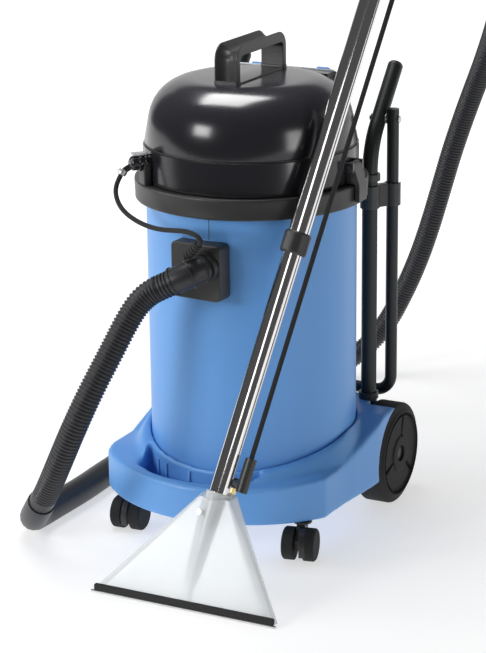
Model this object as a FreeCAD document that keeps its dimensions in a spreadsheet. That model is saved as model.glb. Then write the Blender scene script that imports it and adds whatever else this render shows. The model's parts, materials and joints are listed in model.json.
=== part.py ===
import FreeCAD
import Part
import math
import os
import Sketcher
from collections import namedtuple
from FreeCAD import Placement, Rotation, Vector

# A wheeled tub carpet cleaner. Origin: the tub's axis on the floor. +Z is up, the front is -Y,
# and the machine's own right is -X, so the wand leans on the +X side of the rim.

# ---------------------------------------------------------------- driving dimensions

SIZES = {
    # tub, rim and head
    "drum_radius": 178, "drum_wall": 4, "drum_floor": 125, "drum_top": 577,
    "drum_foot_rounding": 15, "drum_seat_gap": 0.3,
    "band_radius": 197, "band_bore": 168, "band_height": 35, "band_rounding": 5,
    "gasket_radius": 180, "gasket_height": 3,
    "skirt_radius": 181, "skirt_wall": 3, "skirt_height": 52, "skirt_flange_bore": 170,
    "motor_plate_height": 3, "motor_plate_bore": 20,
    "dome_foot_radius": 179, "dome_crown_radius": 160, "dome_height": 107,
    "dome_rounding": 75, "dome_wall": 3,
    "head_handle_front": 88, "head_handle_rear": 94, "head_handle_height": 64,
    "head_handle_width": 42, "head_handle_strap": 9, "head_handle_rounding": 26,
    "motor_spacing": 148, "motor_radius": 58, "motor_cap_radius": 50, "motor_body": 42,
    "motor_height": 72,
    "cage_radius": 34, "cage_wall": 3, "cage_depth": 77, "cage_window": 20, "ball_radius": 26,
    "tank_height": 171, "tank_wall": 3, "tank_gap": 1,
    # switch box at the back of the head
    "box_width": 190, "box_front": 100, "box_reach": 13, "box_rise": 6, "box_lip_rise": 64,
    "box_slope": 64, "box_drop": 7, "box_gap": 0.2,
    "panel_width": 180, "panel_length": 66, "panel_thickness": 3,
    "rocker_width": 22, "rocker_length": 34, "rocker_spacing": 124, "rocker_gap": 0.6,
    "rocker_depth": 8, "rocker_tilt": 7,
    "gland_bore": 9, "gland_depth": 22, "gland_across": -75, "gland_rise": 15,
    # head latches
    "latch_width": 30, "latch_pin_radius": 3, "latch_pin_out": 8, "latch_pin_rise": 30,
    "latch_nose": 7.2, "latch_proud": 9, "latch_rise": 7, "ear_width": 6, "ear_gap": 0.4,
    "pin_gap": 0.05,
    # base
    "castor_headroom": 9, "base_top": 184, "base_front_radius": 257, "base_corner_across": 197,
    "base_corner_back": -126, "base_left_corner": 208, "base_left_corner_back": -150,
    "base_left_across": 214, "base_left_back": -122,
    "base_waist_across": 200, "base_waist_back": -60, "base_hip_across": 209, "base_hip_back": 17,
    "base_across": 213, "base_rear": 183, "fender_back": 60,
    "rim_nose_height": 126, "rim_side_height": 138, "rim_side_front": -130,
    "rim_side_back": -58, "rim_top_back": 84,
    "ledge_nose_height": 132, "ledge_nose_back": -198, "ledge_lip_height": 141,
    "ledge_lip_back": -186, "ledge_mid_height": 165, "ledge_mid_back": -87,
    "ledge_high_height": 182, "ledge_high_back": -10, "collar_radius": 206,
    "collar_height": 138, "floor_wall": 6, "cavity_radius": 148,
    "pocket_floor": 78, "pocket_inner": 186, "pocket_outer": 204,
    "pocket_left_inner_turn": -46, "pocket_left_outer_turn": -34.5, "pocket_left_radius": 225,
    "pocket_right_inner_turn": 32, "pocket_right_outer_turn": 28.5, "pocket_right_radius": 203,
    # rear wheels
    "wheel_radius": 90, "wheel_width": 53, "wheel_inner": 160, "wheel_well_gap": 5,
    "wheel_side_gap": 3.5, "axle_back": 156, "axle_radius": 8, "axle_gap": 0.06,
    "axle_length": 410, "hub_hole": 14, "hub_depth": 12, "hub_ring": 34, "hub_rise": 4,
    "wheel_shoulder": 8, "wheel_face_radius": 80, "cap_radius": 13, "cap_height": 7.5,
    # castors
    "castor_across": 162, "castor_back": -143, "castor_trail": 17, "castor_radius": 28,
    "castor_half_width": 28, "castor_slot": 8, "fin_half_width": 7, "stem_radius": 5.5,
    "stem_length": 36, "castor_axle_radius": 4, "castor_turn_right": 12,
    "castor_turn_left": 5, "collar_gap": 0.3, "castor_plate_radius": 16,
    # posts and push handle
    "post_across": 147.5, "post_back": 160, "post_radius": 13.5, "post_wall": 1.5,
    "post_bend_rise": 60, "post_bend_radius": 120, "post_tilt": 41, "post_horn": 160,
    "ferrule_radius": 17.5, "ferrule_height": 12, "ferrule_floor": 3, "spigot_radius": 8,
    "spigot_depth": 34, "cap_plug": 12, "cap_rise": 9,
    "handle_across": 173.5, "handle_radius": 10.5, "handle_tip": 18,
    "handle_rise": 4, "handle_corner": 30, "pivot_rise": 44, "bolt_radius": 4,
    "bolt_gap": 0.1, "bolt_head_radius": 6, "bolt_head": 2.5, "washer_radius": 9,
    "clip_drop": 47, "clip_height": 40, "clip_wall": 3.5, "clip_gap": 0.4, "clip_arm": 12,
    "bracket_rise": 2, "bracket_height": 12, "bracket_wall": 4.5, "bracket_width": 24,
    # suction port on the tub
    "plate_turn": -4.4, "plate_half_width": 56, "plate_down": 57, "plate_up": 37,
    "plate_proud": 8, "plate_corner": 10, "port_across": 34, "port_drop": 77,
    "port_ring": 26, "port_bore": 18, "port_rise": 12, "cuff_radius": 24, "cuff_bore": 19,
    "boot_length": 46, "boot_big": 8.5, "boot_small": 6,
    # solution coupling on the rim
    "coupling_turn": -41, "coupling_rise": 36, "coupling_radius": 13, "coupling_proud": 26,
    "coupling_gap": 0.6, "bracket_plate": 30, "bracket_thick": 13, "nipple_radius": 6,
    "nipple_length": 20, "nipple_inset": 9, "lever_width": 14, "lever_length": 26,
    "lever_thickness": 4, "lever_gap": 0.4,
    # pump under the tub
    "pump_radius": 21, "pump_length": 96, "pump_drop": 26, "pump_foot_width": 50,
    # wand and floor tool
    "wand_lower_radius": 16, "wand_wall": 1.4, "wand_upper_radius": 17.5, "wand_overlap": 45,
    "wand_joint": 430, "wand_foot": 30, "wand_bend": 950, "wand_bend_radius": 80,
    "wand_tail": 82, "sleeve_gap": 0.1, "lock_radius": 22, "lock_low": 404, "lock_high": 440,
    "tube_offset": 34, "tube_turn": 17, "spray_radius": 4, "tool_half_width": 164.5,
    "tool_rise": 165, "tool_back": 91, "neck_across": 21.6, "tool_mouth": 15,
    "neck_width": 60, "neck_depth": 50, "tool_wall": 2.5, "socket_wall": 4.5,
    "socket_rise": 26, "socket_drop": 4, "mouth_gap": 4, "lip_across": 82.6,
    "lip_front": 425.4, "lip_height": 12, "lip_thickness": 5, "lip_overhang": 2,
    "squeegee_height": 8, "squeegee_thickness": 4, "screw_radius": 5, "screw_height": 3,
    "screw_drop": 18, "screw_across": 16,
    "valve_radius": 9.5, "valve_low": 16, "valve_high": 72, "elbow_height": 26,
    "elbow_radius": 6, "nozzle_back": 44, "nozzle_radius": 7.5, "nozzle_drop": 2,
    "nut_radius": 8, "nut_height": 10,
    "jet_radius": 4.5, "jet_length": 10,
    "grip_low": 872, "grip_high": 908, "grip_half": 12, "trigger_length": 70,
    "trigger_width": 14, "trigger_thickness": 4, "trigger_pin": 2.5,
    "wand_cuff_radius": 23, "cuff_cover": 40, "wand_cuff_length": 100,
    # hoses
    "hose_radius": 21.5, "hose_floor_radius": 24, "hose_valley": 19.5, "hose_bore": 17.5,
    "hose_front_ribs": 58, "hose_rear_ribs": 132, "supply_radius": 4,
}


def formula_of(value):
    """Give the spreadsheet formula of a length, or the number itself."""
    return value.formula if isinstance(value, Length) else repr(float(value))


class Length(float):
    """A number that also knows the spreadsheet formula it comes from."""

    def __new__(cls, number, formula):
        length = super().__new__(cls, number)
        length.formula = formula
        return length

    def __add__(self, other):
        return Length(float(self) + float(other), f"({self.formula} + {formula_of(other)})")

    def __radd__(self, other):
        return Length(float(other) + float(self), f"({formula_of(other)} + {self.formula})")

    def __sub__(self, other):
        return Length(float(self) - float(other), f"({self.formula} - {formula_of(other)})")

    def __rsub__(self, other):
        return Length(float(other) - float(self), f"({formula_of(other)} - {self.formula})")

    def __mul__(self, other):
        return Length(float(self) * float(other), f"({self.formula} * {formula_of(other)})")

    def __rmul__(self, other):
        return Length(float(other) * float(self), f"({formula_of(other)} * {self.formula})")

    def __truediv__(self, other):
        return Length(float(self) / float(other), f"({self.formula} / {formula_of(other)})")

    def __neg__(self):
        return Length(-float(self), f"(-1 * {self.formula})")


def root(length):
    return Length(math.sqrt(length), f"sqrt({formula_of(length)})")


def sine(turn):
    return Length(math.sin(math.radians(turn)), f"sin({formula_of(turn)})")


def cosine(turn):
    return Length(math.cos(math.radians(turn)), f"cos({formula_of(turn)})")


doc = FreeCAD.newDocument("CarpetCleaner")
sheet = doc.addObject("Spreadsheet::Sheet", "Sizes")
for row, (alias, number) in enumerate(SIZES.items(), start=1):
    sheet.set(f"A{row}", alias)
    sheet.set(f"B{row}", str(number))
    sheet.setAlias(f"B{row}", alias)
doc.recompute()
S = namedtuple("Sizes", SIZES)(*[Length(number, f"Sizes.{alias}")
                                 for alias, number in SIZES.items()])

# ---------------------------------------------------------------- sizes that follow from others

BASE_BOTTOM = 2 * S.castor_radius + S.castor_headroom
BAND_TOP = S.drum_top + S.band_height
GASKET_TOP = BAND_TOP + S.gasket_height
SKIRT_TOP = GASKET_TOP + S.skirt_height
DOME_FOOT = SKIRT_TOP + S.motor_plate_height
DOME_TOP = DOME_FOOT + S.dome_height
BOX_REAR = S.skirt_radius + S.box_reach
BOX_RIDGE = BOX_REAR - S.box_slope
BOX_LOW = DOME_FOOT + S.box_rise
BOX_LIP = BOX_LOW + S.box_lip_rise
BOX_TOP = DOME_TOP - S.box_drop
GLAND_UP = BOX_LOW + S.gland_rise
LATCH_PIN_UP = BAND_TOP + S.latch_pin_rise
LATCH_LOW = S.drum_top + S.latch_rise
LATCH_REACH = S.band_radius + S.latch_proud
PLATE_FACE = S.drum_radius + S.plate_proud
PORT_HEIGHT = S.drum_top - S.port_drop
PLATE_LOW = PORT_HEIGHT - S.plate_down
PLATE_HIGH = PORT_HEIGHT + S.plate_up
POST_BEND_HEIGHT = S.drum_top + S.post_bend_rise
BRACKET_LOW = S.drum_top + S.bracket_rise
CLIP_LOW = S.drum_top - S.clip_drop
PIVOT_HEIGHT = POST_BEND_HEIGHT + S.pivot_rise
HANDLE_BACK = S.post_back + S.pivot_rise * sine(S.post_tilt) / cosine(S.post_tilt)
HANDLE_TOP = PIVOT_HEIGHT + S.handle_tip
HANDLE_LOW = S.base_top + S.handle_rise
COUPLING_HEIGHT = BAND_TOP + S.coupling_rise
COUPLING_REACH = S.band_radius + S.coupling_proud

# ---------------------------------------------------------------- sketch and feature helpers

Corner = namedtuple("Corner", "x y rounding", defaults=(None,))
Arc = namedtuple("Arc", "radius centre_left")
Circle = namedtuple("Circle", "x y radius")


def bind(thing, name, value):
    """Tie a property or constraint to its formula, so it follows the spreadsheet."""
    if isinstance(value, Length):
        thing.setExpression(name, value.formula)
    elif not name.startswith("Constraints"):
        setattr(thing, name, value)


def pin(sketch, geometry, point, x, y):
    """Fix a sketch point at its distances from the sketch's origin."""
    for kind, value in (("DistanceX", x), ("DistanceY", y)):
        index = sketch.addConstraint(Sketcher.Constraint(kind, -1, 1, geometry, point, float(value)))
        bind(sketch, f"Constraints[{index}]", value)


def draw_circle(sketch, circle):
    centre = Vector(circle.x, circle.y, 0)
    geometry = sketch.addGeometry(Part.Circle(centre, Vector(0, 0, 1), float(circle.radius)))
    pin(sketch, geometry, 3, circle.x, circle.y)
    index = sketch.addConstraint(Sketcher.Constraint("Radius", geometry, float(circle.radius)))
    bind(sketch, f"Constraints[{index}]", circle.radius)


def add_arc(sketch, centre, start, end, counterclockwise):
    """Add an arc; return its geometry and the point numbers of its start and end."""
    first, last = (start, end) if counterclockwise else (end, start)
    angles = [math.atan2(spot.y - centre.y, spot.x - centre.x) for spot in (first, last)]
    circle = Part.Circle(centre, Vector(0, 0, 1), (start - centre).Length)
    geometry = sketch.addGeometry(Part.ArcOfCircle(circle, *angles))
    return (geometry, 1, 2) if counterclockwise else (geometry, 2, 1)


def left_of(direction):
    return Vector(-direction.y, direction.x, 0)


def corner_cut(before, here, after, rounding):
    """Return where a rounded corner starts, ends and has its centre, and if it turns left."""
    arriving = (here - before).normalize()
    leaving = (after - here).normalize()
    turn = arriving.getAngle(leaving)
    reach = float(rounding) * math.tan(turn / 2)
    turns_left = arriving.cross(leaving).z > 0
    start = here - arriving * reach
    side = 1 if turns_left else -1
    centre = start + left_of(arriving) * (side * float(rounding))
    return start, here + leaving * reach, centre, turns_left


def draw_outline(sketch, outline, closed=True):
    """Draw runs and arcs between corners; a corner with a rounding gets a tangent arc."""
    corners = [item for item in outline if isinstance(item, Corner)]
    arcs = {sum(isinstance(item, Corner) for item in outline[:place]) - 1: item
            for place, item in enumerate(outline) if isinstance(item, Arc)}
    count = len(corners)
    spots = [Vector(corner.x, corner.y, 0) for corner in corners]
    cuts = {}
    for i, corner in enumerate(corners):
        if corner.rounding is not None:
            cuts[i] = corner_cut(spots[i - 1], spots[i], spots[(i + 1) % count], corner.rounding)
    edges = []
    for i in range(count if closed else count - 1):
        j = (i + 1) % count
        start = cuts[i][1] if i in cuts else spots[i]
        end = cuts[j][0] if j in cuts else spots[j]
        if i in arcs:
            middle = (start + end) * 0.5
            half = (end - start).Length / 2
            side = 1 if arcs[i].centre_left else -1
            rise = math.sqrt(float(arcs[i].radius) ** 2 - half ** 2) * side
            centre = middle + left_of((end - start).normalize()) * rise
            edges.append(add_arc(sketch, centre, start, end, arcs[i].centre_left))
            index = sketch.addConstraint(
                Sketcher.Constraint("Radius", edges[-1][0], float(arcs[i].radius)))
            bind(sketch, f"Constraints[{index}]", arcs[i].radius)
        else:
            edges.append((sketch.addGeometry(Part.LineSegment(start, end)), 1, 2))
    for i, corner in enumerate(corners):
        if i in cuts:
            start, end, centre, turns_left = cuts[i]
            arc = add_arc(sketch, centre, start, end, turns_left)
            point = sketch.addGeometry(Part.Point(spots[i]), True)
            pin(sketch, point, 1, corner.x, corner.y)
            before, after = edges[i - 1], edges[i % len(edges)]
            sketch.addConstraint([
                Sketcher.Constraint("PointOnObject", point, 1, before[0]),
                Sketcher.Constraint("PointOnObject", point, 1, after[0]),
                Sketcher.Constraint("Tangent", before[0], before[2], arc[0], arc[1]),
                Sketcher.Constraint("Tangent", arc[0], arc[2], after[0], after[1])])
            index = sketch.addConstraint(
                Sketcher.Constraint("Radius", arc[0], float(corner.rounding)))
            bind(sketch, f"Constraints[{index}]", corner.rounding)
        elif closed or 0 < i < count - 1:
            before, after = edges[i - 1], edges[i % len(edges)]
            sketch.addConstraint(
                Sketcher.Constraint("Coincident", before[0], before[2], after[0], after[1]))
            pin(sketch, after[0], after[1], corner.x, corner.y)
        else:
            edge = edges[0] if i == 0 else edges[-1]
            pin(sketch, edge[0], edge[1] if i == 0 else edge[2], corner.x, corner.y)


def rectangle(left, low, right, high, rounding=None):
    return [Corner(left, low, rounding), Corner(right, low, rounding),
            Corner(right, high, rounding), Corner(left, high, rounding)]


class Piece:
    """A PartDesign body that grows by one feature at a time."""

    def __init__(self, label):
        self.body = doc.addObject("PartDesign::Body", label)
        self.body.Label = label

    def sketch(self, plane, outlines, lift=None, closed=True):
        """Draw outlines on one of the body's origin planes, lifted along its normal."""
        sketch = self.body.newObject("Sketcher::SketchObject", f"{self.body.Name}_sketch")
        origin = next(item for item in self.body.Origin.OriginFeatures if item.Role == plane)
        sketch.AttachmentSupport = [(origin, "")]
        sketch.MapMode = "FlatFace"
        if lift is not None:
            bind(sketch, "AttachmentOffset.Base.z", lift)
        for outline in outlines:
            if isinstance(outline, Circle):
                draw_circle(sketch, outline)
            else:
                draw_outline(sketch, outline, closed)
        doc.recompute()
        return sketch

    def feature(self, kind, profile, **settings):
        feature = self.body.newObject(f"PartDesign::{kind}", f"{self.body.Name}_{kind}")
        feature.Profile = profile
        for name, value in settings.items():
            if isinstance(value, Length):
                feature.setExpression(name, value.formula)
            else:
                setattr(feature, name, value)
        doc.recompute()
        return feature

    def pad(self, plane, outlines, length, lift=None, **settings):
        return self.feature("Pad", self.sketch(plane, outlines, lift), Length=length, **settings)

    def pocket(self, plane, outlines, length, lift=None, **settings):
        """Cut a pocket and make sure that it took something away."""
        before = self.body.Shape.Volume
        cut = self.feature("Pocket", self.sketch(plane, outlines, lift), Length=length, **settings)
        if self.body.Shape.Volume >= before:
            raise ValueError(f"{cut.Label} cuts nothing")
        return cut

    def revolve(self, outlines, kind="Revolution"):
        """Turn a profile (radius, height) about the body's Z axis."""
        profile = self.sketch("XZ_Plane", outlines)
        return self.feature(kind, profile, ReferenceAxis=(profile, ["V_Axis"]), Angle=360.0)

    def pipe(self, profile, route, edges, kind="AdditivePipe"):
        names = [f"Edge{number + 1}" for number in range(edges)]
        return self.feature(kind, profile, Spine=(route, names), Transition="Round corner")

    def place(self, placement):
        self.body.Placement = placement
        return self.body


NODES = {}


def keep(label, thing):
    """Register an object as the node of that name."""
    thing.Label = label
    NODES[label] = thing
    return thing


def keep_shape(label, shape, placement=None):
    """Register a shape that no feature suits."""
    thing = doc.addObject("Part::Feature", label)
    thing.Shape = shape
    if placement is not None:
        thing.Placement = placement
    return keep(label, thing)


def mirrored(label, source):
    mirror = doc.addObject("Part::Mirroring", label)
    mirror.Source = source
    mirror.Normal = Vector(1, 0, 0)
    doc.recompute()
    return mirror


def pair(label, source):
    """Join a piece and its mirror image as two separate solids of one node."""
    group = doc.addObject("Part::Compound", label)
    group.Links = [source, mirrored(f"{label}_other_side", source)]
    return keep(label, group)


def primitive(kind, label, placement=None, **sizes):
    thing = doc.addObject(f"Part::{kind}", label)
    for name, value in sizes.items():
        bind(thing, name, value)
    if placement is not None:
        thing.Placement = placement
    return thing


def fused(label, *things):
    union = doc.addObject("Part::MultiFuse", label)
    union.Shapes = list(things)
    return union


def cut(label, base, tool):
    difference = doc.addObject("Part::Cut", label)
    difference.Base = base
    difference.Tool = tool
    return difference


def toward(direction):
    """Return the rotation that turns +Z into a direction."""
    return Rotation(Vector(0, 0, 1), Vector(*direction))


def around(turn, radius, height):
    """Return the point at a turn from the front, a radius and a height about the tub's axis."""
    angle = math.radians(turn)
    return Vector(math.sin(angle) * radius, -math.cos(angle) * radius, height)


ALONG_X = Rotation(Vector(0, 1, 0), 90)

# ---------------------------------------------------------------- routes of tubes and hoses


def rounded_wire(points, radius=None, share=0.45):
    """Join straight runs by tangent arcs; return the wire and its smallest arc radius."""
    spots = [Vector(*point) for point in points]
    edges = []
    smallest = None
    here = spots[0]
    for before, corner, after in zip(spots, spots[1:], spots[2:]):
        arriving = (corner - before).normalize()
        leaving = (after - corner).normalize()
        turn = arriving.getAngle(leaving)
        shorter = min((corner - before).Length, (after - corner).Length)
        bend = float(radius) if radius is not None else share * shorter / math.tan(turn / 2)
        smallest = bend if smallest is None else min(smallest, bend)
        reach = bend * math.tan(turn / 2)
        start = corner - arriving * reach
        end = corner + leaving * reach
        inward = (leaving - arriving).normalize()
        middle = corner + inward * (bend / math.cos(turn / 2) - bend)
        edges.append(Part.LineSegment(here, start).toShape())
        edges.append(Part.Arc(start, middle, end).toShape())
        here = end
    edges.append(Part.LineSegment(here, spots[-1]).toShape())
    return Part.Wire(edges), smallest


def swept(wire, radius):
    """Sweep a round section along a wire of runs and tangent arcs."""
    start = wire.Edges[0]
    section = Part.Wire(Part.Circle(start.valueAt(start.FirstParameter),
                                    start.tangentAt(start.FirstParameter), float(radius)).toShape())
    return wire.makePipeShell([section], True, False)


def tube_shape(wire, radius, bore):
    return swept(wire, radius).cut(swept(wire, bore))


def wire_stations(wire, lengths):
    """Return the point and direction at each length along a wire."""
    stations = []
    edges = [(edge, edge.Length) for edge in wire.OrderedEdges]
    for length in lengths:
        rest = length
        for edge, span in edges:
            if rest <= span or edge is edges[-1][0]:
                break
            rest -= span
        parameter = edge.getParameterByLength(min(rest, span))
        stations.append((edge.valueAt(parameter), edge.tangentAt(parameter)))
    return stations


def steady_circle(centre, direction, radius):
    """Make a circle whose own X axis stays near the same direction all along a hose."""
    turned = Rotation(Vector(1, 0, 0), Vector(0, 0, 0), direction, "ZXY")
    circle = Part.Circle(Vector(0, 0, 0), Vector(0, 0, 1), float(radius)).toShape()
    circle.Placement = Placement(centre, turned)
    return Part.Wire(circle)


def ribbed_shape(wire, ribs, crest, valley, bore):
    """Loft a corrugated wall through four circles for each rib, with a plain bore."""
    total = wire.Length
    plain = 2 * float(crest)
    pitch = (total - 2 * plain) / ribs
    lengths, radii = [0.0], [valley]
    for rib in range(ribs):
        start = plain + rib * pitch
        lengths += [start + pitch * share for share in (0.1, 0.3, 0.6, 0.8)]
        radii += [valley, crest, crest, valley]
    lengths.append(total)
    radii.append(valley)
    circles = [steady_circle(centre, direction, radius)
               for (centre, direction), radius in zip(wire_stations(wire, lengths), radii)]
    return Part.makeLoft(circles, True, True).cut(swept(wire, bore))


def report_route(label, wire, smallest, radius, shape, bore=0):
    section = math.pi * (float(radius) ** 2 - float(bore) ** 2)
    print(f"{label}: length {wire.Length:.0f} mm, smallest bend {smallest:.0f} mm, "
          f"volume share {shape.Volume / (section * wire.Length):.3f}")


# ---------------------------------------------------------------- base

def base_plan():
    """The platform from above: hips beside the wheels, a waist, and an arched front."""
    right = [Corner(S.base_corner_across, S.base_corner_back),
             Corner(S.base_waist_across, S.base_waist_back),
             Corner(S.base_hip_across, S.base_hip_back),
             Corner(S.base_across, S.fender_back), Corner(S.base_across, S.base_rear)]
    left = [Corner(-S.base_across, S.base_rear), Corner(-S.base_across, S.fender_back),
            Corner(-S.base_left_across, S.base_left_back),
            Corner(-S.base_left_corner, S.base_left_corner_back)]
    return left + [Arc(S.base_front_radius, True)] + right


def above(line, front, top):
    """Close a side line with a region above it, to cut away."""
    return ([Corner(front, line[0][1])] + [Corner(*point) for point in line]
            + [Corner(line[-1][0], top), Corner(front, top)])


def make_base():
    base = Piece("base")
    height = S.base_top - BASE_BOTTOM
    front = -S.base_front_radius - S.floor_wall
    clear_top = S.base_top + S.drum_radius
    full_width = S.base_across * 3
    base.pad("XY_Plane", [base_plan()], height, BASE_BOTTOM)
    rim = [(S.rim_side_front, S.rim_side_height), (S.rim_side_back, S.rim_side_height),
           (S.rim_top_back, S.base_top)]
    rim_cut = [Corner(front, S.rim_nose_height)] + [Corner(*point) for point in rim]
    rim_cut += [Corner(S.rim_top_back, clear_top), Corner(front, clear_top)]
    base.pocket("YZ_Plane", [rim_cut], full_width, SideType="Symmetric")
    collar = [Corner(S.cavity_radius, BASE_BOTTOM + S.floor_wall),
              Corner(S.collar_radius, BASE_BOTTOM + S.floor_wall),
              Corner(S.collar_radius, S.collar_height),
              Corner(S.drum_radius + S.clip_wall, S.base_top),
              Corner(S.cavity_radius, S.base_top)]
    base.revolve([collar])
    ledge = [(S.ledge_nose_back, S.ledge_nose_height), (S.ledge_lip_back, S.ledge_lip_height),
             (S.ledge_mid_back, S.ledge_mid_height), (S.ledge_high_back, S.ledge_high_height),
             (S.fender_back, S.base_top)]
    base.pocket("YZ_Plane", [above(ledge, front, clear_top)], full_width, SideType="Symmetric")
    base.pocket("YZ_Plane", [rectangle(S.base_rear, 0, S.base_rear * 2, clear_top)],
                full_width, SideType="Symmetric")
    well = Circle(S.axle_back, S.wheel_radius, S.wheel_radius + S.wheel_well_gap)
    behind = rectangle(S.axle_back, 0, S.base_rear * 2, clear_top)
    well_inner = S.wheel_inner - S.wheel_side_gap
    for outline in (well, behind):
        base.pocket("YZ_Plane", [outline], S.wheel_radius, well_inner, Reversed=True)
        base.pocket("YZ_Plane", [outline], S.wheel_radius, -well_inner)
    base.pocket("XY_Plane", [Circle(0, 0, S.drum_radius + S.drum_seat_gap)], S.drum_radius,
                S.drum_floor, Reversed=True)
    base.pocket("XY_Plane", [Circle(0, 0, S.cavity_radius)],
                S.drum_floor - S.floor_wall - BASE_BOTTOM, BASE_BOTTOM, Reversed=True)

    def turned(radius, turn):
        return Corner(radius * sine(turn), -(radius * cosine(turn)))

    crescent = [turned(S.pocket_inner, S.pocket_left_inner_turn), Arc(S.pocket_inner, True),
                turned(S.pocket_inner, S.pocket_right_inner_turn),
                turned(S.pocket_right_radius, S.pocket_right_outer_turn),
                Arc(S.pocket_outer, False),
                turned(S.pocket_left_radius, S.pocket_left_outer_turn)]
    base.pocket("XY_Plane", [crescent], S.drum_radius, S.pocket_floor, Reversed=True)
    stems = [Circle(side * S.castor_across, S.castor_back, S.stem_radius + S.pin_gap)
             for side in (-1, 1)]
    base.pocket("XY_Plane", stems, S.stem_length + S.collar_gap, BASE_BOTTOM, Reversed=True)
    base.pocket("YZ_Plane", [Circle(S.axle_back, S.wheel_radius, S.axle_radius)],
                full_width, SideType="Symmetric")
    sockets = [Circle(side * S.post_across, S.post_back, S.spigot_radius) for side in (-1, 1)]
    base.pocket("XY_Plane", sockets, S.spigot_depth, S.base_top)
    keep("base", base.body)


# ---------------------------------------------------------------- tub and rim

def port_frame():
    """The port plate's own frame: turned about the tub's axis, its face to -Y."""
    return Placement(Vector(0, 0, 0), Rotation(Vector(0, 0, 1), float(S.plate_turn)))


def make_tub():
    drum = Piece("drum")
    inner = S.drum_radius - S.drum_wall
    drum.revolve([[Corner(0, S.drum_floor), Corner(S.drum_radius, S.drum_floor, S.drum_foot_rounding),
                   Corner(S.drum_radius, S.drum_top), Corner(inner, S.drum_top),
                   Corner(inner, S.drum_floor + S.drum_wall, S.drum_foot_rounding - S.drum_wall),
                   Corner(0, S.drum_floor + S.drum_wall)]])
    port = port_frame().multVec(Vector(S.port_across, -PLATE_FACE, 0))
    port_x = Length(port.x, f"({S.port_across.formula} * cos({S.plate_turn.formula}) + "
                            f"{PLATE_FACE.formula} * sin({S.plate_turn.formula}))")
    drum.pocket("XZ_Plane", [Circle(port_x, PORT_HEIGHT, S.port_bore + S.drum_wall)],
                S.drum_radius * 2, Reversed=True)
    keep("drum", drum.body)

    band = Piece("rim_band")
    top = BAND_TOP
    band.revolve([[Corner(S.band_bore, S.drum_top), Corner(S.band_radius, S.drum_top, S.band_rounding),
                   Corner(S.band_radius, top, S.band_rounding), Corner(S.band_bore, top)]])
    keep("rim_band", band.body)

    tank = Piece("solution_tank")
    outer = inner - S.tank_gap
    floor = S.drum_floor + S.drum_wall
    rounding = S.drum_foot_rounding - S.tank_wall
    tank.revolve([[Corner(0, floor), Corner(outer, floor, rounding),
                   Corner(outer, floor + S.tank_height),
                   Corner(outer - S.tank_wall, floor + S.tank_height),
                   Corner(outer - S.tank_wall, floor + S.tank_wall, rounding - S.tank_wall),
                   Corner(0, floor + S.tank_wall)]])
    keep("solution_tank", tank.body)


def make_port():
    plate = Piece("inlet_plate")
    plate.pad("XZ_Plane", [rectangle(-S.plate_half_width, PLATE_LOW, S.plate_half_width,
                                     PLATE_HIGH, S.plate_corner)], PLATE_FACE)
    plate.pad("XZ_Plane", [Circle(S.port_across, PORT_HEIGHT, S.port_ring)],
              PLATE_FACE + S.port_rise)
    skin = S.drum_radius + S.drum_seat_gap
    plate.revolve([[Corner(0, PLATE_LOW - S.plate_corner), Corner(skin, PLATE_LOW - S.plate_corner),
                    Corner(skin, PLATE_HIGH + S.plate_corner),
                    Corner(0, PLATE_HIGH + S.plate_corner)]], "Groove")
    plate.pocket("XZ_Plane", [Circle(S.port_across, PORT_HEIGHT, S.port_bore)],
                 PLATE_FACE * 2, Reversed=True)
    plate.place(port_frame())
    keep("inlet_plate", plate.body)


# Corners of the hoses and the supply tube. Heights in the first two lists are below the port.
CUFF_END = (-42, -251, 30)
HOSE_FALL = [(-84, -273, 74), (-105, -298, 130), (-130, -327, 194), (-156, -345, 260),
             (-186, -346, 326), (-222, -328, 386)]
HOSE_FLOOR = [(-262, -302, 62), (-300, -256, 27), (-300, -185, 25.5),
              (-296, -95, 25.5), (-300, 5, 25.5), (-299, 125, 25.5), (-290, 255, 25.5),
              (-272, 395, 25.5), (-242, 530, 25.5), (-203, 650, 25.5)]
HOSE_RISE = [(-168, 718, 33), (-128, 764, 62), (-88, 787, 116),
             (-52, 793, 190), (-21, 792, 262), (4, 791, 336), (26, 790, 412), (52, 786, 500),
             (88, 774, 595), (132, 748, 692), (176, 704, 790), (210, 638, 884),
             (231, 552, 966), (241, 460, 1034), (240, 360, 1083)]
SUPPLY_DROP = [(-158, -172, -123), (-160, -181, -106), (-151, -190, -89), (-135, -198, -76),
               (-110, -208, -67), (-82, -218, -62), (-53, -227, -61),
               (-22, -237, -65), (6, -246, -69), (30, -252, -66), (37, -250, -56),
               (29, -245, -49)]


def below_port(x, y, drop):
    return Vector(x, y, float(PORT_HEIGHT) - drop)


def cuff_route():
    """Out of the port, then round an elbow to where the hose starts."""
    frame = port_frame()
    face = frame.multVec(Vector(S.port_across, -(PLATE_FACE + S.port_rise), PORT_HEIGHT))
    outward = frame.Rotation.multVec(Vector(0, -1, 0))
    return [face, face + outward * (1.4 * S.cuff_radius), below_port(*CUFF_END)]


def hose_routes(wand_end):
    """Corners of the three hoses; neighbours meet halfway along a shared straight run."""
    elbow, start = cuff_route()[1:]
    fall = [start, start + (start - elbow).normalize() * float(S.cuff_radius)]
    fall += [below_port(*corner) for corner in HOSE_FALL]
    floor = [Vector(*corner) for corner in HOSE_FLOOR]
    rise = [Vector(*corner) for corner in HOSE_RISE]
    rise += [wand_end + TAIL_DIRECTION * (4 * float(S.hose_radius)), wand_end]
    first = (fall[-1] + floor[0]) * 0.5
    second = (floor[-1] + rise[0]) * 0.5
    return fall + [first], [first] + floor + [second], [second] + rise


def supply_corners():
    return [below_port(*corner) for corner in SUPPLY_DROP]


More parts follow.
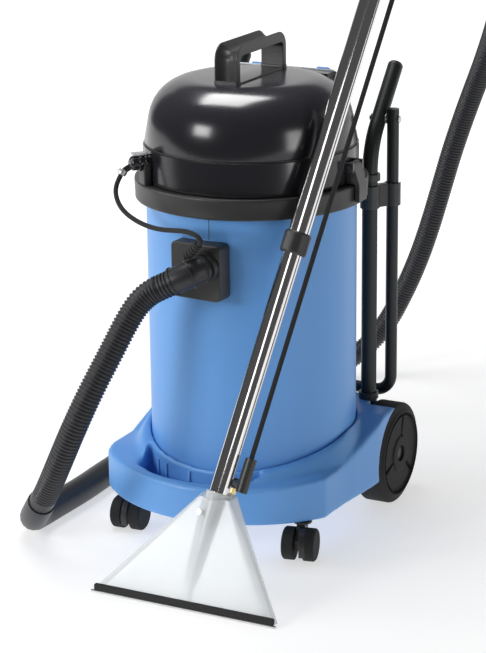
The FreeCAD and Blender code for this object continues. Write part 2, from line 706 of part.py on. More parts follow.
def make_cuff_and_boot():
    wire, _ = rounded_wire(cuff_route(), S.cuff_radius * 1.2)
    keep_shape("inlet_cuff", tube_shape(wire, S.cuff_radius, S.cuff_bore))
    envelope = doc.addObject("Part::Feature", "cuff_envelope")
    envelope.Shape = swept(wire, S.cuff_radius)
    boot = Piece("tube_boot_whole")
    steps = 5
    profile = [Corner(0, 0), Corner(S.boot_big, 0)]
    for step in range(steps):
        low = S.boot_length * (step + 0.4) / steps
        high = S.boot_length * (step + 0.7) / steps
        radius = S.boot_big - (S.boot_big - S.boot_small) * step / steps
        profile += [Corner(radius, low), Corner(radius - 1.5, low),
                    Corner(radius - 1.5, high), Corner(radius, high)]
    profile += [Corner(S.boot_small, S.boot_length), Corner(0, S.boot_length)]
    boot.revolve([profile])
    before, tip = supply_corners()[-2:]
    direction = (before - tip).normalize()
    boot.place(Placement(tip - direction * float(S.boot_length), toward(direction)))
    keep("tube_boot", cut("tube_boot", boot.body, envelope))


# ---------------------------------------------------------------- head

def dome_outline(grow):
    """The dome's outer profile, grown by a gap: drafted side, rounded shoulder, flat crown."""
    foot, top = DOME_FOOT, DOME_TOP + grow
    return [Corner(0, foot), Corner(S.dome_foot_radius + grow, foot),
            Corner(S.dome_crown_radius + grow, top, S.dome_rounding), Corner(0, top)]


def make_head_shells():
    gasket = Piece("head_gasket")
    gasket.revolve([rectangle(S.skirt_flange_bore, BAND_TOP, S.gasket_radius, GASKET_TOP)])
    keep("head_gasket", gasket.body)

    skirt = Piece("head_skirt")
    inner = S.skirt_radius - S.skirt_wall
    skirt.revolve([[Corner(S.skirt_flange_bore, GASKET_TOP), Corner(S.skirt_radius, GASKET_TOP),
                    Corner(S.skirt_radius, SKIRT_TOP), Corner(inner, SKIRT_TOP),
                    Corner(inner, GASKET_TOP + S.skirt_wall),
                    Corner(S.skirt_flange_bore, GASKET_TOP + S.skirt_wall)]])
    near = S.latch_width / 2 + S.ear_gap
    ears = [rectangle(*sides) for sides in (
        (inner + 1, near, S.skirt_radius + 2 * S.latch_pin_out, near + S.ear_width),
        (inner + 1, -near - S.ear_width, S.skirt_radius + 2 * S.latch_pin_out, -near),
        (-S.skirt_radius - 2 * S.latch_pin_out, near, -inner - 1, near + S.ear_width),
        (-S.skirt_radius - 2 * S.latch_pin_out, -near - S.ear_width, -inner - 1, -near))]
    skirt.pad("XY_Plane", ears, 2 * S.latch_pin_out, LATCH_PIN_UP - S.latch_pin_out)
    pin_x = S.skirt_radius + S.latch_pin_out
    skirt.pocket("XZ_Plane", [Circle(side * pin_x, LATCH_PIN_UP, S.latch_pin_radius + S.pin_gap)
                              for side in (-1, 1)], 4 * S.latch_width, SideType="Symmetric")
    keep("head_skirt", skirt.body)

    plate = Piece("motor_plate")
    plate.pad("XY_Plane", [Circle(0, 0, S.dome_foot_radius - 0.5), Circle(0, 0, S.motor_plate_bore)],
              S.motor_plate_height, SKIRT_TOP)
    keep("motor_plate", plate.body)

    dome = Piece("head_dome")
    foot, top = DOME_FOOT, DOME_TOP
    wall = S.dome_wall
    dome.revolve([[Corner(S.dome_foot_radius - wall, foot), Corner(S.dome_foot_radius, foot),
                   Corner(S.dome_crown_radius, top, S.dome_rounding), Corner(0, top),
                   Corner(0, top - wall),
                   Corner(S.dome_crown_radius - wall, top - wall, S.dome_rounding - wall)]])
    keep("head_dome", dome.body)

    handle = Piece("head_handle")
    strap = S.head_handle_strap
    outer = rectangle(-S.head_handle_front, top, S.head_handle_rear, top + S.head_handle_height,
                      S.head_handle_rounding)
    opening = rectangle(strap - S.head_handle_front, top + strap, S.head_handle_rear - strap,
                        top + S.head_handle_height - strap, S.head_handle_rounding - strap)
    handle.pad("YZ_Plane", [outer, opening], S.head_handle_width, SideType="Symmetric")
    keep("head_handle", handle.body)


def make_head_works():
    foot = DOME_FOOT
    motor = Piece("vac_motor")
    motor.revolve([[Corner(0, foot), Corner(S.motor_radius, foot),
                    Corner(S.motor_radius, foot + S.motor_body),
                    Corner(S.motor_cap_radius, foot + S.motor_body),
                    Corner(S.motor_cap_radius, foot + S.motor_height),
                    Corner(0, foot + S.motor_height)]])
    motor.place(Placement(Vector(S.motor_spacing / 2, 0, 0), Rotation()))
    pair("vac_motors", motor.body)

    cage = Piece("float_cage")
    low = SKIRT_TOP - S.cage_depth
    bore = S.cage_radius - S.cage_wall
    cage.revolve([[Corner(0, low), Corner(S.cage_radius, low), Corner(S.cage_radius, SKIRT_TOP),
                   Corner(bore, SKIRT_TOP), Corner(bore, low + S.cage_wall),
                   Corner(0, low + S.cage_wall)]])
    window = rectangle(-S.cage_window / 2, low + 3 * S.cage_wall, S.cage_window / 2,
                       SKIRT_TOP - 3 * S.cage_wall)
    for plane in ("XZ_Plane", "YZ_Plane"):
        cage.pocket(plane, [window], 3 * S.cage_radius, SideType="Symmetric")
    keep("float_cage", cage.body)
    ball_height = low + S.cage_wall + S.pin_gap + S.ball_radius
    keep("float_ball", primitive("Sphere", "float_ball",
                                 Placement(Vector(0, 0, ball_height), Rotation()),
                                 Radius=S.ball_radius))


def panel_frame(up=0.0, across=0.0):
    """The sloping panel's frame: X across, Y up the slope, Z out of it."""
    low = Vector(0, BOX_REAR, BOX_LIP)
    high = Vector(0, BOX_RIDGE, BOX_TOP)
    slope = math.degrees(math.atan2(high.z - low.z, low.y - high.y))
    turned = Rotation(Vector(0, 0, 1), 180).multiply(Rotation(Vector(1, 0, 0), slope))
    centre = (low + high) * 0.5
    shift = turned.multVec(Vector(across, 0, up))
    return Placement(centre + shift, turned)


def make_switch_box():
    shell = Piece("control_box_shell")
    profile = [Corner(S.box_front, BOX_LOW), Corner(BOX_REAR, BOX_LOW),
               Corner(BOX_REAR, BOX_LIP), Corner(BOX_RIDGE, BOX_TOP),
               Corner(S.box_front, BOX_TOP)]
    shell.pad("YZ_Plane", [profile], S.box_width, SideType="Symmetric")
    shell.revolve([dome_outline(S.box_gap)], "Groove")
    shell.pocket("XZ_Plane", [Circle(S.gland_across, GLAND_UP, S.gland_bore / 2)],
                 S.gland_depth, -BOX_REAR, Reversed=True)
    wells = []
    for side in (-1, 1):
        width = S.rocker_width + 2 * S.rocker_gap
        length = S.rocker_length + 4 * S.rocker_gap
        corner = Vector(side * S.rocker_spacing / 2 - width / 2, -length / 2, -2 * S.rocker_depth)
        wells.append(primitive("Box", "rocker_well",
                               panel_frame().multiply(Placement(corner, Rotation())),
                               Length=width, Width=length, Height=3 * S.rocker_depth))
    keep("control_box", cut("control_box", shell.body, fused("rocker_wells", *wells)))

    panel = Piece("control_panel")
    slots = [rectangle(side * S.rocker_spacing / 2 - S.rocker_width / 2 - S.rocker_gap,
                       -S.rocker_length / 2 - 2 * S.rocker_gap,
                       side * S.rocker_spacing / 2 + S.rocker_width / 2 + S.rocker_gap,
                       S.rocker_length / 2 + 2 * S.rocker_gap) for side in (-1, 1)]
    face = rectangle(-S.panel_width / 2, -S.panel_length / 2, S.panel_width / 2,
                     S.panel_length / 2, S.panel_thickness)
    panel.pad("XY_Plane", [face] + slots, S.panel_thickness)
    keep("control_panel", panel.place(panel_frame()))

    for label, side in (("rocker_vac", -1), ("rocker_pump", 1)):
        rocker = Piece(label)
        half = S.rocker_length / 2
        low = -S.rocker_depth / 2
        high = S.rocker_depth / 2
        profile = [Corner(-half + 1, low), Corner(half - 1, low), Corner(half - 1, high),
                   Corner(0, high - 1.5), Corner(-half + 1, high)]
        rocker.pad("YZ_Plane", [profile], S.rocker_width, SideType="Symmetric")
        tilted = Placement(Vector(0, 0, 0), Rotation(Vector(1, 0, 0), -S.rocker_tilt))
        frame = panel_frame(S.panel_thickness - 1, side * S.rocker_spacing / 2)
        keep(label, rocker.place(frame.multiply(tilted)))


def make_latches():
    latch = Piece("latch_left")
    pin_x = S.skirt_radius + S.latch_pin_out
    nose = S.latch_nose
    skin = S.band_radius + S.ear_gap
    shoulder = BAND_TOP + 1.5
    head = LATCH_PIN_UP + nose + 0.2
    latch.pad("XZ_Plane", [[Corner(pin_x - nose - 0.2, head, nose), Corner(pin_x - nose - 0.2, shoulder),
                            Corner(skin, shoulder), Corner(skin, LATCH_LOW),
                            Corner(LATCH_REACH, LATCH_LOW),
                            Corner(LATCH_REACH, BAND_TOP),
                            Corner(pin_x + nose + 0.2, LATCH_PIN_UP),
                            Corner(pin_x + nose + 0.2, head, nose)]],
              S.latch_width, SideType="Symmetric")
    pin_length = S.latch_width + 2 * S.ear_gap + 2 * S.ear_width
    latch.pad("XZ_Plane", [Circle(pin_x, LATCH_PIN_UP, S.latch_pin_radius)], pin_length,
              SideType="Symmetric")
    keep("latch_left", latch.body)
    keep("latch_right", mirrored("latch_right", latch.body))


# ---------------------------------------------------------------- wheels

def make_wheels():
    axle = primitive("Cylinder", "rear_axle",
                     Placement(Vector(-S.axle_length / 2, S.axle_back, S.wheel_radius), ALONG_X),
                     Radius=S.axle_radius, Height=S.axle_length)
    keep("rear_axle", axle)
    wheel = Piece("wheel_left")
    bore = S.axle_radius + S.axle_gap
    width = S.wheel_width
    face = width - S.hub_rise
    wheel.revolve([[Corner(bore, 0), Corner(S.wheel_radius - S.wheel_shoulder, 0),
                    Corner(S.wheel_radius, S.wheel_shoulder),
                    Corner(S.wheel_radius, face - S.wheel_shoulder),
                    Corner(S.wheel_face_radius, width), Corner(S.wheel_face_radius - 6, face),
                    Corner(S.hub_ring, face), Corner(S.hub_ring - S.hub_rise, width),
                    Corner(S.hub_hole, width), Corner(S.hub_hole, width - S.hub_depth),
                    Corner(bore, width - S.hub_depth)]])
    place = Vector(S.wheel_inner, S.axle_back, S.wheel_radius)
    keep("wheel_left", wheel.place(Placement(place, ALONG_X)))
    keep("wheel_right", mirrored("wheel_right", wheel.body))
    cap = Piece("axle_cap")
    seat = S.wheel_inner + width - S.hub_depth + 0.5
    reach = S.axle_length / 2 - seat
    cap.revolve([[Corner(0, reach), Corner(S.axle_radius, reach), Corner(S.axle_radius, 0),
                  Corner(S.cap_radius, 0), Corner(S.cap_radius, S.cap_height - 2),
                  Corner(S.cap_radius - 2, S.cap_height), Corner(0, S.cap_height)]])
    cap.place(Placement(Vector(seat, S.axle_back, S.wheel_radius), ALONG_X))
    pair("axle_caps", cap.body)


def make_castor(side, fork_label, wheels_label, turn):
    """A twin-wheel castor: a fin on a stem, and two wheels fixed on one axle."""
    stem_foot = Placement(Vector(side * S.castor_across, S.castor_back, 0),
                          Rotation(Vector(0, 0, 1), float(turn)))
    axle_up = S.castor_radius
    fork = Piece(fork_label)
    plate_low = BASE_BOTTOM - S.collar_gap - 4
    fork.pad("XY_Plane", [Circle(0, 0, S.castor_plate_radius)], 4, plate_low)
    fork.pad("XY_Plane", [Circle(0, 0, S.stem_radius)], S.stem_length, BASE_BOTTOM - S.collar_gap)
    fin = [Corner(S.stem_radius + 4, plate_low + 1), Corner(S.stem_radius + 4, axle_up + 14),
           Corner(-S.castor_trail + 12, axle_up - 8), Corner(-S.castor_trail - 12, axle_up - 8),
           Corner(-S.castor_trail - 15, axle_up + 10), Corner(-S.castor_plate_radius + 4, plate_low + 1)]
    fork.pad("YZ_Plane", [fin], 2 * S.fin_half_width, SideType="Symmetric")
    fork.pocket("YZ_Plane", [Circle(-S.castor_trail, axle_up, S.castor_axle_radius + S.axle_gap)],
                3 * S.fin_half_width, SideType="Symmetric")
    keep(fork_label, fork.place(stem_foot))

    wheels = Piece(wheels_label)
    half = S.castor_half_width
    slot = S.castor_slot
    profile = [Corner(0, -half)]
    profile += [Corner(S.castor_radius - 3, -half), Corner(S.castor_radius, 3 - half),
                Corner(S.castor_radius, -slot), Corner(S.castor_axle_radius, -slot),
                Corner(S.castor_axle_radius, slot), Corner(S.castor_radius, slot),
                Corner(S.castor_radius, half - 3), Corner(S.castor_radius - 3, half),
                Corner(0, half)]
    wheels.revolve([profile])
    axle = Placement(Vector(0, -S.castor_trail, axle_up), ALONG_X)
    keep(wheels_label, wheels.place(stem_foot.multiply(axle)))


# ---------------------------------------------------------------- posts and push handle

def post_horn_end():
    rise = POST_BEND_HEIGHT + S.post_horn * cosine(S.post_tilt)
    return S.post_back + S.post_horn * sine(S.post_tilt), rise


def make_posts():
    foot = S.base_top + S.ferrule_floor
    end_back, end_up = post_horn_end()
    post = Piece("post_left")
    ring = [Circle(S.post_across, S.post_back, S.post_radius),
            Circle(S.post_across, S.post_back, S.post_radius - S.post_wall)]
    route = [Corner(S.post_back, foot), Corner(S.post_back, POST_BEND_HEIGHT, S.post_bend_radius),
             Corner(end_back, end_up)]
    section = post.sketch("XY_Plane", [ring[0], ring[1]], foot)
    spine = post.sketch("YZ_Plane", [route], S.post_across, closed=False)
    post.pipe(section, spine, 3)
    post.pocket("YZ_Plane", [Circle(HANDLE_BACK, PIVOT_HEIGHT, S.bolt_radius)],
                4 * S.post_radius, S.post_across, SideType="Symmetric")
    keep("post_left", post.body)
    keep("post_right", mirrored("post_right", post.body))

    ferrule = Piece("post_ferrule")
    ferrule.pad("XY_Plane", [Circle(S.post_across, S.post_back, S.ferrule_radius)],
                S.ferrule_height, S.base_top)
    ferrule.pocket("XY_Plane", [Circle(S.post_across, S.post_back, S.post_radius)],
                   S.ferrule_height, foot, Reversed=True)
    ferrule.pad("XY_Plane", [Circle(S.post_across, S.post_back, S.spigot_radius)],
                S.spigot_depth, S.base_top, Reversed=True)
    pair("post_ferrules", ferrule.body)

    cap = Piece("horn_cap")
    plug = S.post_radius - S.post_wall
    cap.revolve([[Corner(0, -S.cap_plug), Corner(plug, -S.cap_plug), Corner(plug, 0),
                  Corner(S.post_radius, 0), Corner(S.post_radius, S.cap_rise, S.cap_rise - 2),
                  Corner(0, S.cap_rise)]])
    cap.place(Placement(Vector(S.post_across, end_back, end_up),
                        Rotation(Vector(1, 0, 0), -float(S.post_tilt))))
    pair("horn_caps", cap.body)

    upright = Vector(S.post_across, S.post_back, BRACKET_LOW)
    heading = math.degrees(math.atan2(upright.y, upright.x))
    reach = math.hypot(upright.x, upright.y)
    ring = primitive("Cylinder", "bracket_ring", Placement(upright, Rotation()),
                     Radius=S.post_radius + S.bracket_wall, Height=S.bracket_height)
    bar_start = Placement(Vector(0, 0, 0), Rotation(Vector(0, 0, 1), heading)).multiply(
        Placement(Vector(S.band_radius - 1, -S.bracket_width / 2, BRACKET_LOW), Rotation()))
    bar = primitive("Box", "bracket_bar", bar_start, Length=reach - S.band_radius,
                    Width=S.bracket_width, Height=S.bracket_height)
    holes = fused("bracket_holes",
                  primitive("Cylinder", "bracket_post_hole", Placement(upright, Rotation()),
                            Radius=S.post_radius, Height=S.bracket_height),
                  primitive("Cylinder", "bracket_band_hole",
                            Placement(Vector(0, 0, BRACKET_LOW), Rotation()),
                            Radius=S.band_radius, Height=S.bracket_height))
    pair("post_brackets", cut("post_bracket", fused("bracket_body", ring, bar), holes))


def make_push_handle():
    handle = Piece("push_handle")
    across = S.handle_across
    section = handle.sketch("XY_Plane", [Circle(across, HANDLE_BACK, S.handle_radius)],
                            HANDLE_TOP)
    route = [Corner(across, HANDLE_TOP), Corner(across, HANDLE_LOW, S.handle_corner),
             Corner(-across, HANDLE_LOW, S.handle_corner), Corner(-across, HANDLE_TOP)]
    spine = handle.sketch("XZ_Plane", [route], -HANDLE_BACK, closed=False)
    handle.pipe(section, spine, 5)
    handle.pocket("YZ_Plane", [Circle(HANDLE_BACK, PIVOT_HEIGHT, S.bolt_radius + S.bolt_gap)],
                  3 * across, SideType="Symmetric")
    keep("push_handle", handle.body)

    bolt = Piece("pivot_bolt")
    nut = S.post_across - S.post_radius - S.collar_gap
    washer = (S.post_across + S.post_radius + across - S.handle_radius) / 2
    head = across + S.handle_radius + S.collar_gap
    bolt.revolve([[Corner(0, nut - S.bolt_head), Corner(S.bolt_head_radius, nut - S.bolt_head),
                   Corner(S.bolt_head_radius, nut), Corner(S.bolt_radius, nut),
                   Corner(S.bolt_radius, washer - 0.7), Corner(S.washer_radius, washer - 0.7),
                   Corner(S.washer_radius, washer + 0.7), Corner(S.bolt_radius, washer + 0.7),
                   Corner(S.bolt_radius, head), Corner(S.bolt_head_radius, head),
                   Corner(S.bolt_head_radius, head + S.bolt_head), Corner(0, head + S.bolt_head)]])
    bolt.place(Placement(Vector(0, HANDLE_BACK, PIVOT_HEIGHT), ALONG_X))
    pair("pivot_bolts", bolt.body)

    post = Vector(S.post_across, S.post_back, CLIP_LOW)
    leg = Vector(S.handle_across, HANDLE_BACK, CLIP_LOW)
    link = leg - post
    heading = Rotation(Vector(0, 0, 1), math.degrees(math.atan2(link.y, link.x)))
    arm_corner = post + heading.multVec(Vector(0, -S.clip_arm / 2, 0))
    saddle_radius = S.handle_radius + S.clip_gap
    body = fused("clip_body",
                 primitive("Cylinder", "clip_ring", Placement(post, Rotation()),
                           Radius=S.post_radius + S.clip_wall, Height=S.clip_height),
                 primitive("Box", "clip_arm", Placement(arm_corner, heading),
                           Length=Length(link.Length, repr(link.Length)), Width=S.clip_arm,
                           Height=S.clip_height),
                 primitive("Cylinder", "clip_saddle", Placement(leg, Rotation()),
                           Radius=saddle_radius + S.clip_wall, Height=S.clip_height))
    slot_corner = leg - Vector(saddle_radius, 0, 0)
    holes = fused("clip_holes",
                  primitive("Cylinder", "clip_post_hole", Placement(post, Rotation()),
                            Radius=S.post_radius, Height=S.clip_height),
                  primitive("Cylinder", "clip_leg_hole", Placement(leg, Rotation()),
                            Radius=saddle_radius, Height=S.clip_height),
                  primitive("Box", "clip_slot", Placement(slot_corner, Rotation()),
                            Length=2 * saddle_radius, Width=3 * saddle_radius,
                            Height=S.clip_height))
    pair("handle_clips", cut("handle_clip", body, holes))


# ---------------------------------------------------------------- solution coupling and pump

def nipple_ends():
    """Where the coupling's nipple starts inside the barrel and where it ends at the tube."""
    inset = around(float(S.coupling_turn), COUPLING_REACH - S.nipple_inset, COUPLING_HEIGHT)
    side = (supply_corners()[0] - inset).normalize()
    return inset, inset + side * float(S.nipple_length)


def make_coupling():
    turn = float(S.coupling_turn)
    frame = Placement(Vector(0, 0, 0), Rotation(Vector(0, 0, 1), turn))
    start = S.skirt_radius + S.coupling_gap
    plate_start = frame.multiply(Placement(
        Vector(-S.bracket_plate / 2, -(start + S.bracket_thick), BAND_TOP), Rotation()))
    plate = primitive("Box", "coupling_plate", plate_start, Length=S.bracket_plate,
                      Width=S.bracket_thick, Height=COUPLING_HEIGHT - BAND_TOP)
    outward = around(turn, 1, 0)
    barrel = primitive("Cylinder", "coupling_barrel",
                       Placement(around(turn, start, COUPLING_HEIGHT), toward(outward)),
                       Radius=S.coupling_radius, Height=COUPLING_REACH - start)
    inset, tip = nipple_ends()
    nipple = primitive("Cylinder", "coupling_nipple", Placement(inset, toward(tip - inset)),
                       Radius=S.nipple_radius, Height=S.nipple_length)
    body = fused("coupling_body", plate, barrel, nipple)
    relief = primitive("Cylinder", "coupling_relief",
                       Placement(Vector(0, 0, BAND_TOP), Rotation()),
                       Radius=start, Height=COUPLING_HEIGHT)
    keep("supply_coupling", cut("supply_coupling", body, relief))

    lever = Piece("coupling_lever")
    low = S.coupling_radius + S.lever_gap
    lever.pad("XY_Plane", [rectangle(-S.lever_width / 2, -S.lever_length, S.lever_width / 2, 0,
                                     S.lever_thickness / 2)], S.lever_thickness, low)
    seat = frame.multiply(Placement(Vector(0, -(start + S.lever_thickness), COUPLING_HEIGHT),
                                    Rotation()))
    keep("coupling_lever", lever.place(seat))


def make_pump():
    ceiling = S.drum_floor - S.floor_wall
    pump = Piece("pump")
    foot = rectangle(-S.pump_foot_width / 2, -S.pump_foot_width / 2, S.pump_foot_width / 2,
                     S.pump_foot_width / 2)
    pump.pad("XY_Plane", [foot], S.pump_drop, ceiling, Reversed=True)
    pump.pad("YZ_Plane", [Circle(0, ceiling - S.pump_drop, S.pump_radius)], S.pump_length,
             SideType="Symmetric")
    keep("pump", pump.body)


# ---------------------------------------------------------------- wand and floor tool

LIP_CENTRE = Vector(S.lip_across, -S.lip_front, 0)
WAND_DIRECTION = Vector(0.132, 0.410, 0.902).normalize()
TAIL_DIRECTION = Vector(0.02, 0.955, 0.295).normalize()


def tool_frame():
    """The floor tool's frame: X along the lip, Y level toward the machine, Z up."""
    return Placement(LIP_CENTRE, Rotation())


def wand_frame():
    """The wand's frame: Z up the tube, X near the lip's direction, from the tool's neck."""
    foot = tool_frame().multVec(Vector(S.neck_across, S.tool_back, S.tool_rise))
    return Placement(foot, Rotation(Vector(1, 0, 0), Vector(0, 0, 0), WAND_DIRECTION, "ZXY"))


def beside_wand(height):
    """A point on the spray tube's line, at a height up the wand."""
    turn = math.radians(S.tube_turn)
    return Vector(math.cos(turn) * S.tube_offset, math.sin(turn) * S.tube_offset, height)


def make_wand():
    frame = wand_frame()
    lower = Piece("wand_lower")
    inner = S.wand_lower_radius - S.wand_wall
    lower.pad("XY_Plane", [Circle(0, 0, S.wand_lower_radius), Circle(0, 0, inner)],
              S.wand_foot + S.wand_joint + S.wand_overlap, -S.wand_foot)
    keep("wand_lower", lower.place(frame))

    start = frame.multVec(Vector(0, 0, S.wand_joint))
    corner = frame.multVec(Vector(0, 0, S.wand_bend))
    wire, _ = rounded_wire([start, corner, corner + TAIL_DIRECTION * float(S.wand_tail)],
                           S.wand_bend_radius)
    keep_shape("wand_upper", tube_shape(wire, S.wand_upper_radius,
                                        S.wand_lower_radius + S.sleeve_gap))

    lock = Piece("wand_collar")
    lock.revolve([[Corner(S.wand_lower_radius + S.sleeve_gap, S.lock_low),
                   Corner(S.lock_radius - 2, S.lock_low), Corner(S.lock_radius, S.lock_low + 3),
                   Corner(S.lock_radius, S.lock_high - 3), Corner(S.lock_radius - 2, S.lock_high),
                   Corner(S.wand_upper_radius + S.sleeve_gap, S.lock_high),
                   Corner(S.wand_upper_radius + S.sleeve_gap, S.wand_joint - 1),
                   Corner(S.wand_lower_radius + S.sleeve_gap, S.wand_joint - 1)]])
    keep("wand_collar", lock.place(frame))

    start = frame.multVec(beside_wand(S.valve_high))
    tube = primitive("Cylinder", "spray_tube", Placement(start, frame.Rotation),
                     Radius=S.spray_radius, Height=S.grip_low - S.valve_high)
    keep("spray_tube", tube)

    cuff_start = corner + TAIL_DIRECTION * float(S.wand_tail - S.cuff_cover)
    straight = Part.Wire(Part.LineSegment(
        cuff_start, cuff_start + TAIL_DIRECTION * float(S.wand_cuff_length)).toShape())
    cuff = swept(straight, S.wand_cuff_radius).cut(
        swept(straight, S.wand_upper_radius + S.sleeve_gap))
    keep_shape("wand_cuff", cuff)
    return corner, cuff_start + TAIL_DIRECTION * float(S.wand_cuff_length)


def make_trigger():
    frame = wand_frame()
    turned = Placement(Vector(0, 0, 0), Rotation(Vector(0, 0, 1), float(S.tube_turn)))
    side = frame.multiply(turned)
    valve = Piece("trigger_valve")
    outer = S.tube_offset + S.spray_radius + 4
    valve.pad("XY_Plane", [rectangle(0, -S.grip_half, outer, S.grip_half)],
              S.grip_high - S.grip_low, S.grip_low)
    valve.pad("XY_Plane", [Circle(0, 0, S.wand_upper_radius + S.clip_wall)],
              S.grip_high - S.grip_low, S.grip_low)
    valve.pocket("XY_Plane", [Circle(0, 0, S.wand_upper_radius + S.sleeve_gap)], S.grip_high,
                 S.grip_low, Reversed=True)
    fork = rectangle(outer - 10, -S.trigger_width / 2 - 1, outer + 4, S.trigger_width / 2 + 1)
    valve.pocket("XY_Plane", [fork], 14, S.grip_high)
    pin_up = S.grip_high - 7
    valve.pocket("XZ_Plane", [Circle(outer - 4, pin_up, S.trigger_pin + S.pin_gap)],
                 3 * S.grip_half, SideType="Symmetric")
    keep("trigger_valve", valve.place(side))

    trigger = Piece("trigger")
    flat = S.trigger_thickness
    arm = [Corner(outer - 7, pin_up - 3), Corner(outer, pin_up - 3), Corner(outer + 1, pin_up + 8),
           Corner(outer + 14, pin_up + S.trigger_length),
           Corner(outer + 14 - flat, pin_up + S.trigger_length),
           Corner(outer - 5, pin_up + 10)]
    trigger.pad("XZ_Plane", [arm], S.trigger_width, SideType="Symmetric")
    trigger.pad("XZ_Plane", [Circle(outer - 4, pin_up, S.trigger_pin)], 2 * S.grip_half,
                SideType="Symmetric")
    keep("trigger", trigger.place(side))


def make_floor_tool():
    frame = tool_frame()

    def section(width, depth, height, back, across=0.0):
        """A level rectangular section, wide along the lip."""
        left, right = across - width / 2, across + width / 2
        front, rear = back - depth / 2, back + depth / 2
        return Part.makePolygon([Vector(left, front, height), Vector(right, front, height),
                                 Vector(right, rear, height), Vector(left, rear, height),
                                 Vector(left, front, height)])

    width, mouth = 2 * float(S.tool_half_width), float(S.tool_mouth)
    neck, deep = float(S.neck_width), float(S.neck_depth)
    wall = float(S.tool_wall)
    rise, run = float(S.tool_rise), float(S.tool_back)
    flange, low = float(S.lip_height), float(S.mouth_gap)
    across = float(S.neck_across)
    back = float(S.lip_thickness) + mouth / 2
    middle = (rise + flange) / 2

    def shell(inset):
        """The fishtail as one block, inset by a wall."""
        return Part.makeLoft([section(width - inset, mouth - inset, low, back),
                              section(width - inset, mouth - inset, flange, back),
                              section((width + neck) / 2 - inset, (mouth + deep) / 2 - inset,
                                      middle, (back + run) / 2, across / 2),
                              section(neck - inset, deep - inset, rise, run, across)],
                             True, True)

    outer = shell(0)
    inner = shell(2 * wall)
    drop, lift = float(S.socket_drop), float(S.socket_rise)
    neck_top = Part.makeCylinder(float(S.wand_lower_radius + S.socket_wall), drop + lift,
                                 Vector(0, 0, -drop))
    neck_top.Placement = frame.inverse().multiply(wand_frame())
    foot = float(S.wand_foot)
    bore = Part.makeCylinder(float(S.wand_lower_radius + S.sleeve_gap), 2 * foot + lift,
                             Vector(0, 0, -foot - lift))
    bore.Placement = frame.inverse().multiply(wand_frame())
    body = outer.fuse(neck_top).cut(inner.fuse(bore))
    keep_shape("tool_body", body.Solids[0], frame)

    lip = Piece("tool_lip")
    half = S.tool_half_width + S.lip_overhang
    lip.pad("XY_Plane", [rectangle(-half, 0, half, S.lip_thickness)], S.lip_height)
    keep("tool_lip", lip.place(frame))
    squeegee = Piece("tool_squeegee")
    squeegee.pad("XY_Plane", [rectangle(-S.tool_half_width, S.lip_thickness - S.squeegee_thickness,
                                        S.tool_half_width, S.lip_thickness)],
                 S.squeegee_height, S.lip_height)
    keep("tool_squeegee", squeegee.place(frame))

    slope = math.atan2(run - deep / 2 - (back - mouth / 2), rise - flange)
    down = float(S.screw_drop)
    face = Vector(across - S.screw_across, run - deep / 2 - down * math.tan(slope), rise - down)
    normal = Vector(0, -math.cos(slope), math.sin(slope))
    keep("tool_screw", primitive("Cylinder", "tool_screw",
                                 frame.multiply(Placement(face, toward(normal))),
                                 Radius=S.screw_radius, Height=S.screw_height))


def make_spray_parts():
    """The valve beside the wand's foot, its elbow round behind, and the nozzle under it."""
    frame = wand_frame()
    valve = primitive("Cylinder", "valve_barrel",
                      Placement(frame.multVec(beside_wand(S.valve_low)), frame.Rotation),
                      Radius=S.valve_radius, Height=S.valve_high - S.valve_low)
    bend = beside_wand(S.elbow_height)
    nozzle = Vector(0, S.nozzle_back, S.elbow_height)
    elbow = primitive("Cylinder", "valve_elbow",
                      Placement(frame.multVec(bend),
                                frame.Rotation.multiply(toward(nozzle - bend))),
                      Radius=S.elbow_radius, Height=Length((nozzle - bend).Length,
                                                           repr((nozzle - bend).Length)))
    tip = S.elbow_height - S.elbow_radius - S.nozzle_drop

    def below(drop):
        return Placement(frame.multVec(Vector(0, S.nozzle_back, tip - drop)), frame.Rotation)

    outlet = primitive("Cylinder", "valve_outlet", below(0), Radius=S.nozzle_radius,
                       Height=2 * S.elbow_radius + 2 * S.nozzle_drop)
    keep("spray_valve", fused("spray_valve", valve, elbow, outlet))
    keep("brass_nut", primitive("Prism", "brass_nut", below(S.nut_height), Polygon=6,
                                Circumradius=S.nut_radius, Height=S.nut_height))
    keep("spray_jet", primitive("Cone", "spray_jet", below(S.nut_height + S.jet_length),
                                Radius1=S.jet_radius - 2, Radius2=S.jet_radius,
                                Height=S.jet_length))


def make_hoses(wand_end):
    fall, floor, rise = hose_routes(wand_end)
    for label, corners, ribs in (("hose_front", fall, S.hose_front_ribs),
                                 ("hose_rear", rise, S.hose_rear_ribs)):
        wire, smallest = rounded_wire(corners)
        shape = ribbed_shape(wire, int(ribs), S.hose_radius, S.hose_valley, S.hose_bore)
        report_route(label, wire, smallest, S.hose_radius, shape, S.hose_bore)
        keep_shape(label, shape)
    wire, smallest = rounded_wire(floor)
    shape = tube_shape(wire, S.hose_floor_radius, S.hose_bore)
    report_route("hose_floor", wire, smallest, S.hose_floor_radius, shape, S.hose_bore)
    keep_shape("hose_floor", shape)
    wire, smallest = rounded_wire([nipple_ends()[1]] + supply_corners())
    shape = swept(wire, S.supply_radius)
    report_route("supply_tube", wire, smallest, S.supply_radius, shape)
    keep_shape("supply_tube", shape)


# ---------------------------------------------------------------- build, check and write

make_base()
make_tub()
make_port()
make_cuff_and_boot()
make_head_shells()
make_head_works()
make_switch_box()
make_latches()
make_wheels()
make_castor(1, "castor_fork_left", "castor_wheels_left", S.castor_turn_right)
make_castor(-1, "castor_fork_right", "castor_wheels_right", S.castor_turn_left)
make_posts()
make_push_handle()
make_coupling()
make_pump()
bend_corner, wand_end = make_wand()
make_trigger()
make_floor_tool()
make_spray_parts()
make_hoses(wand_end)
doc.recompute()

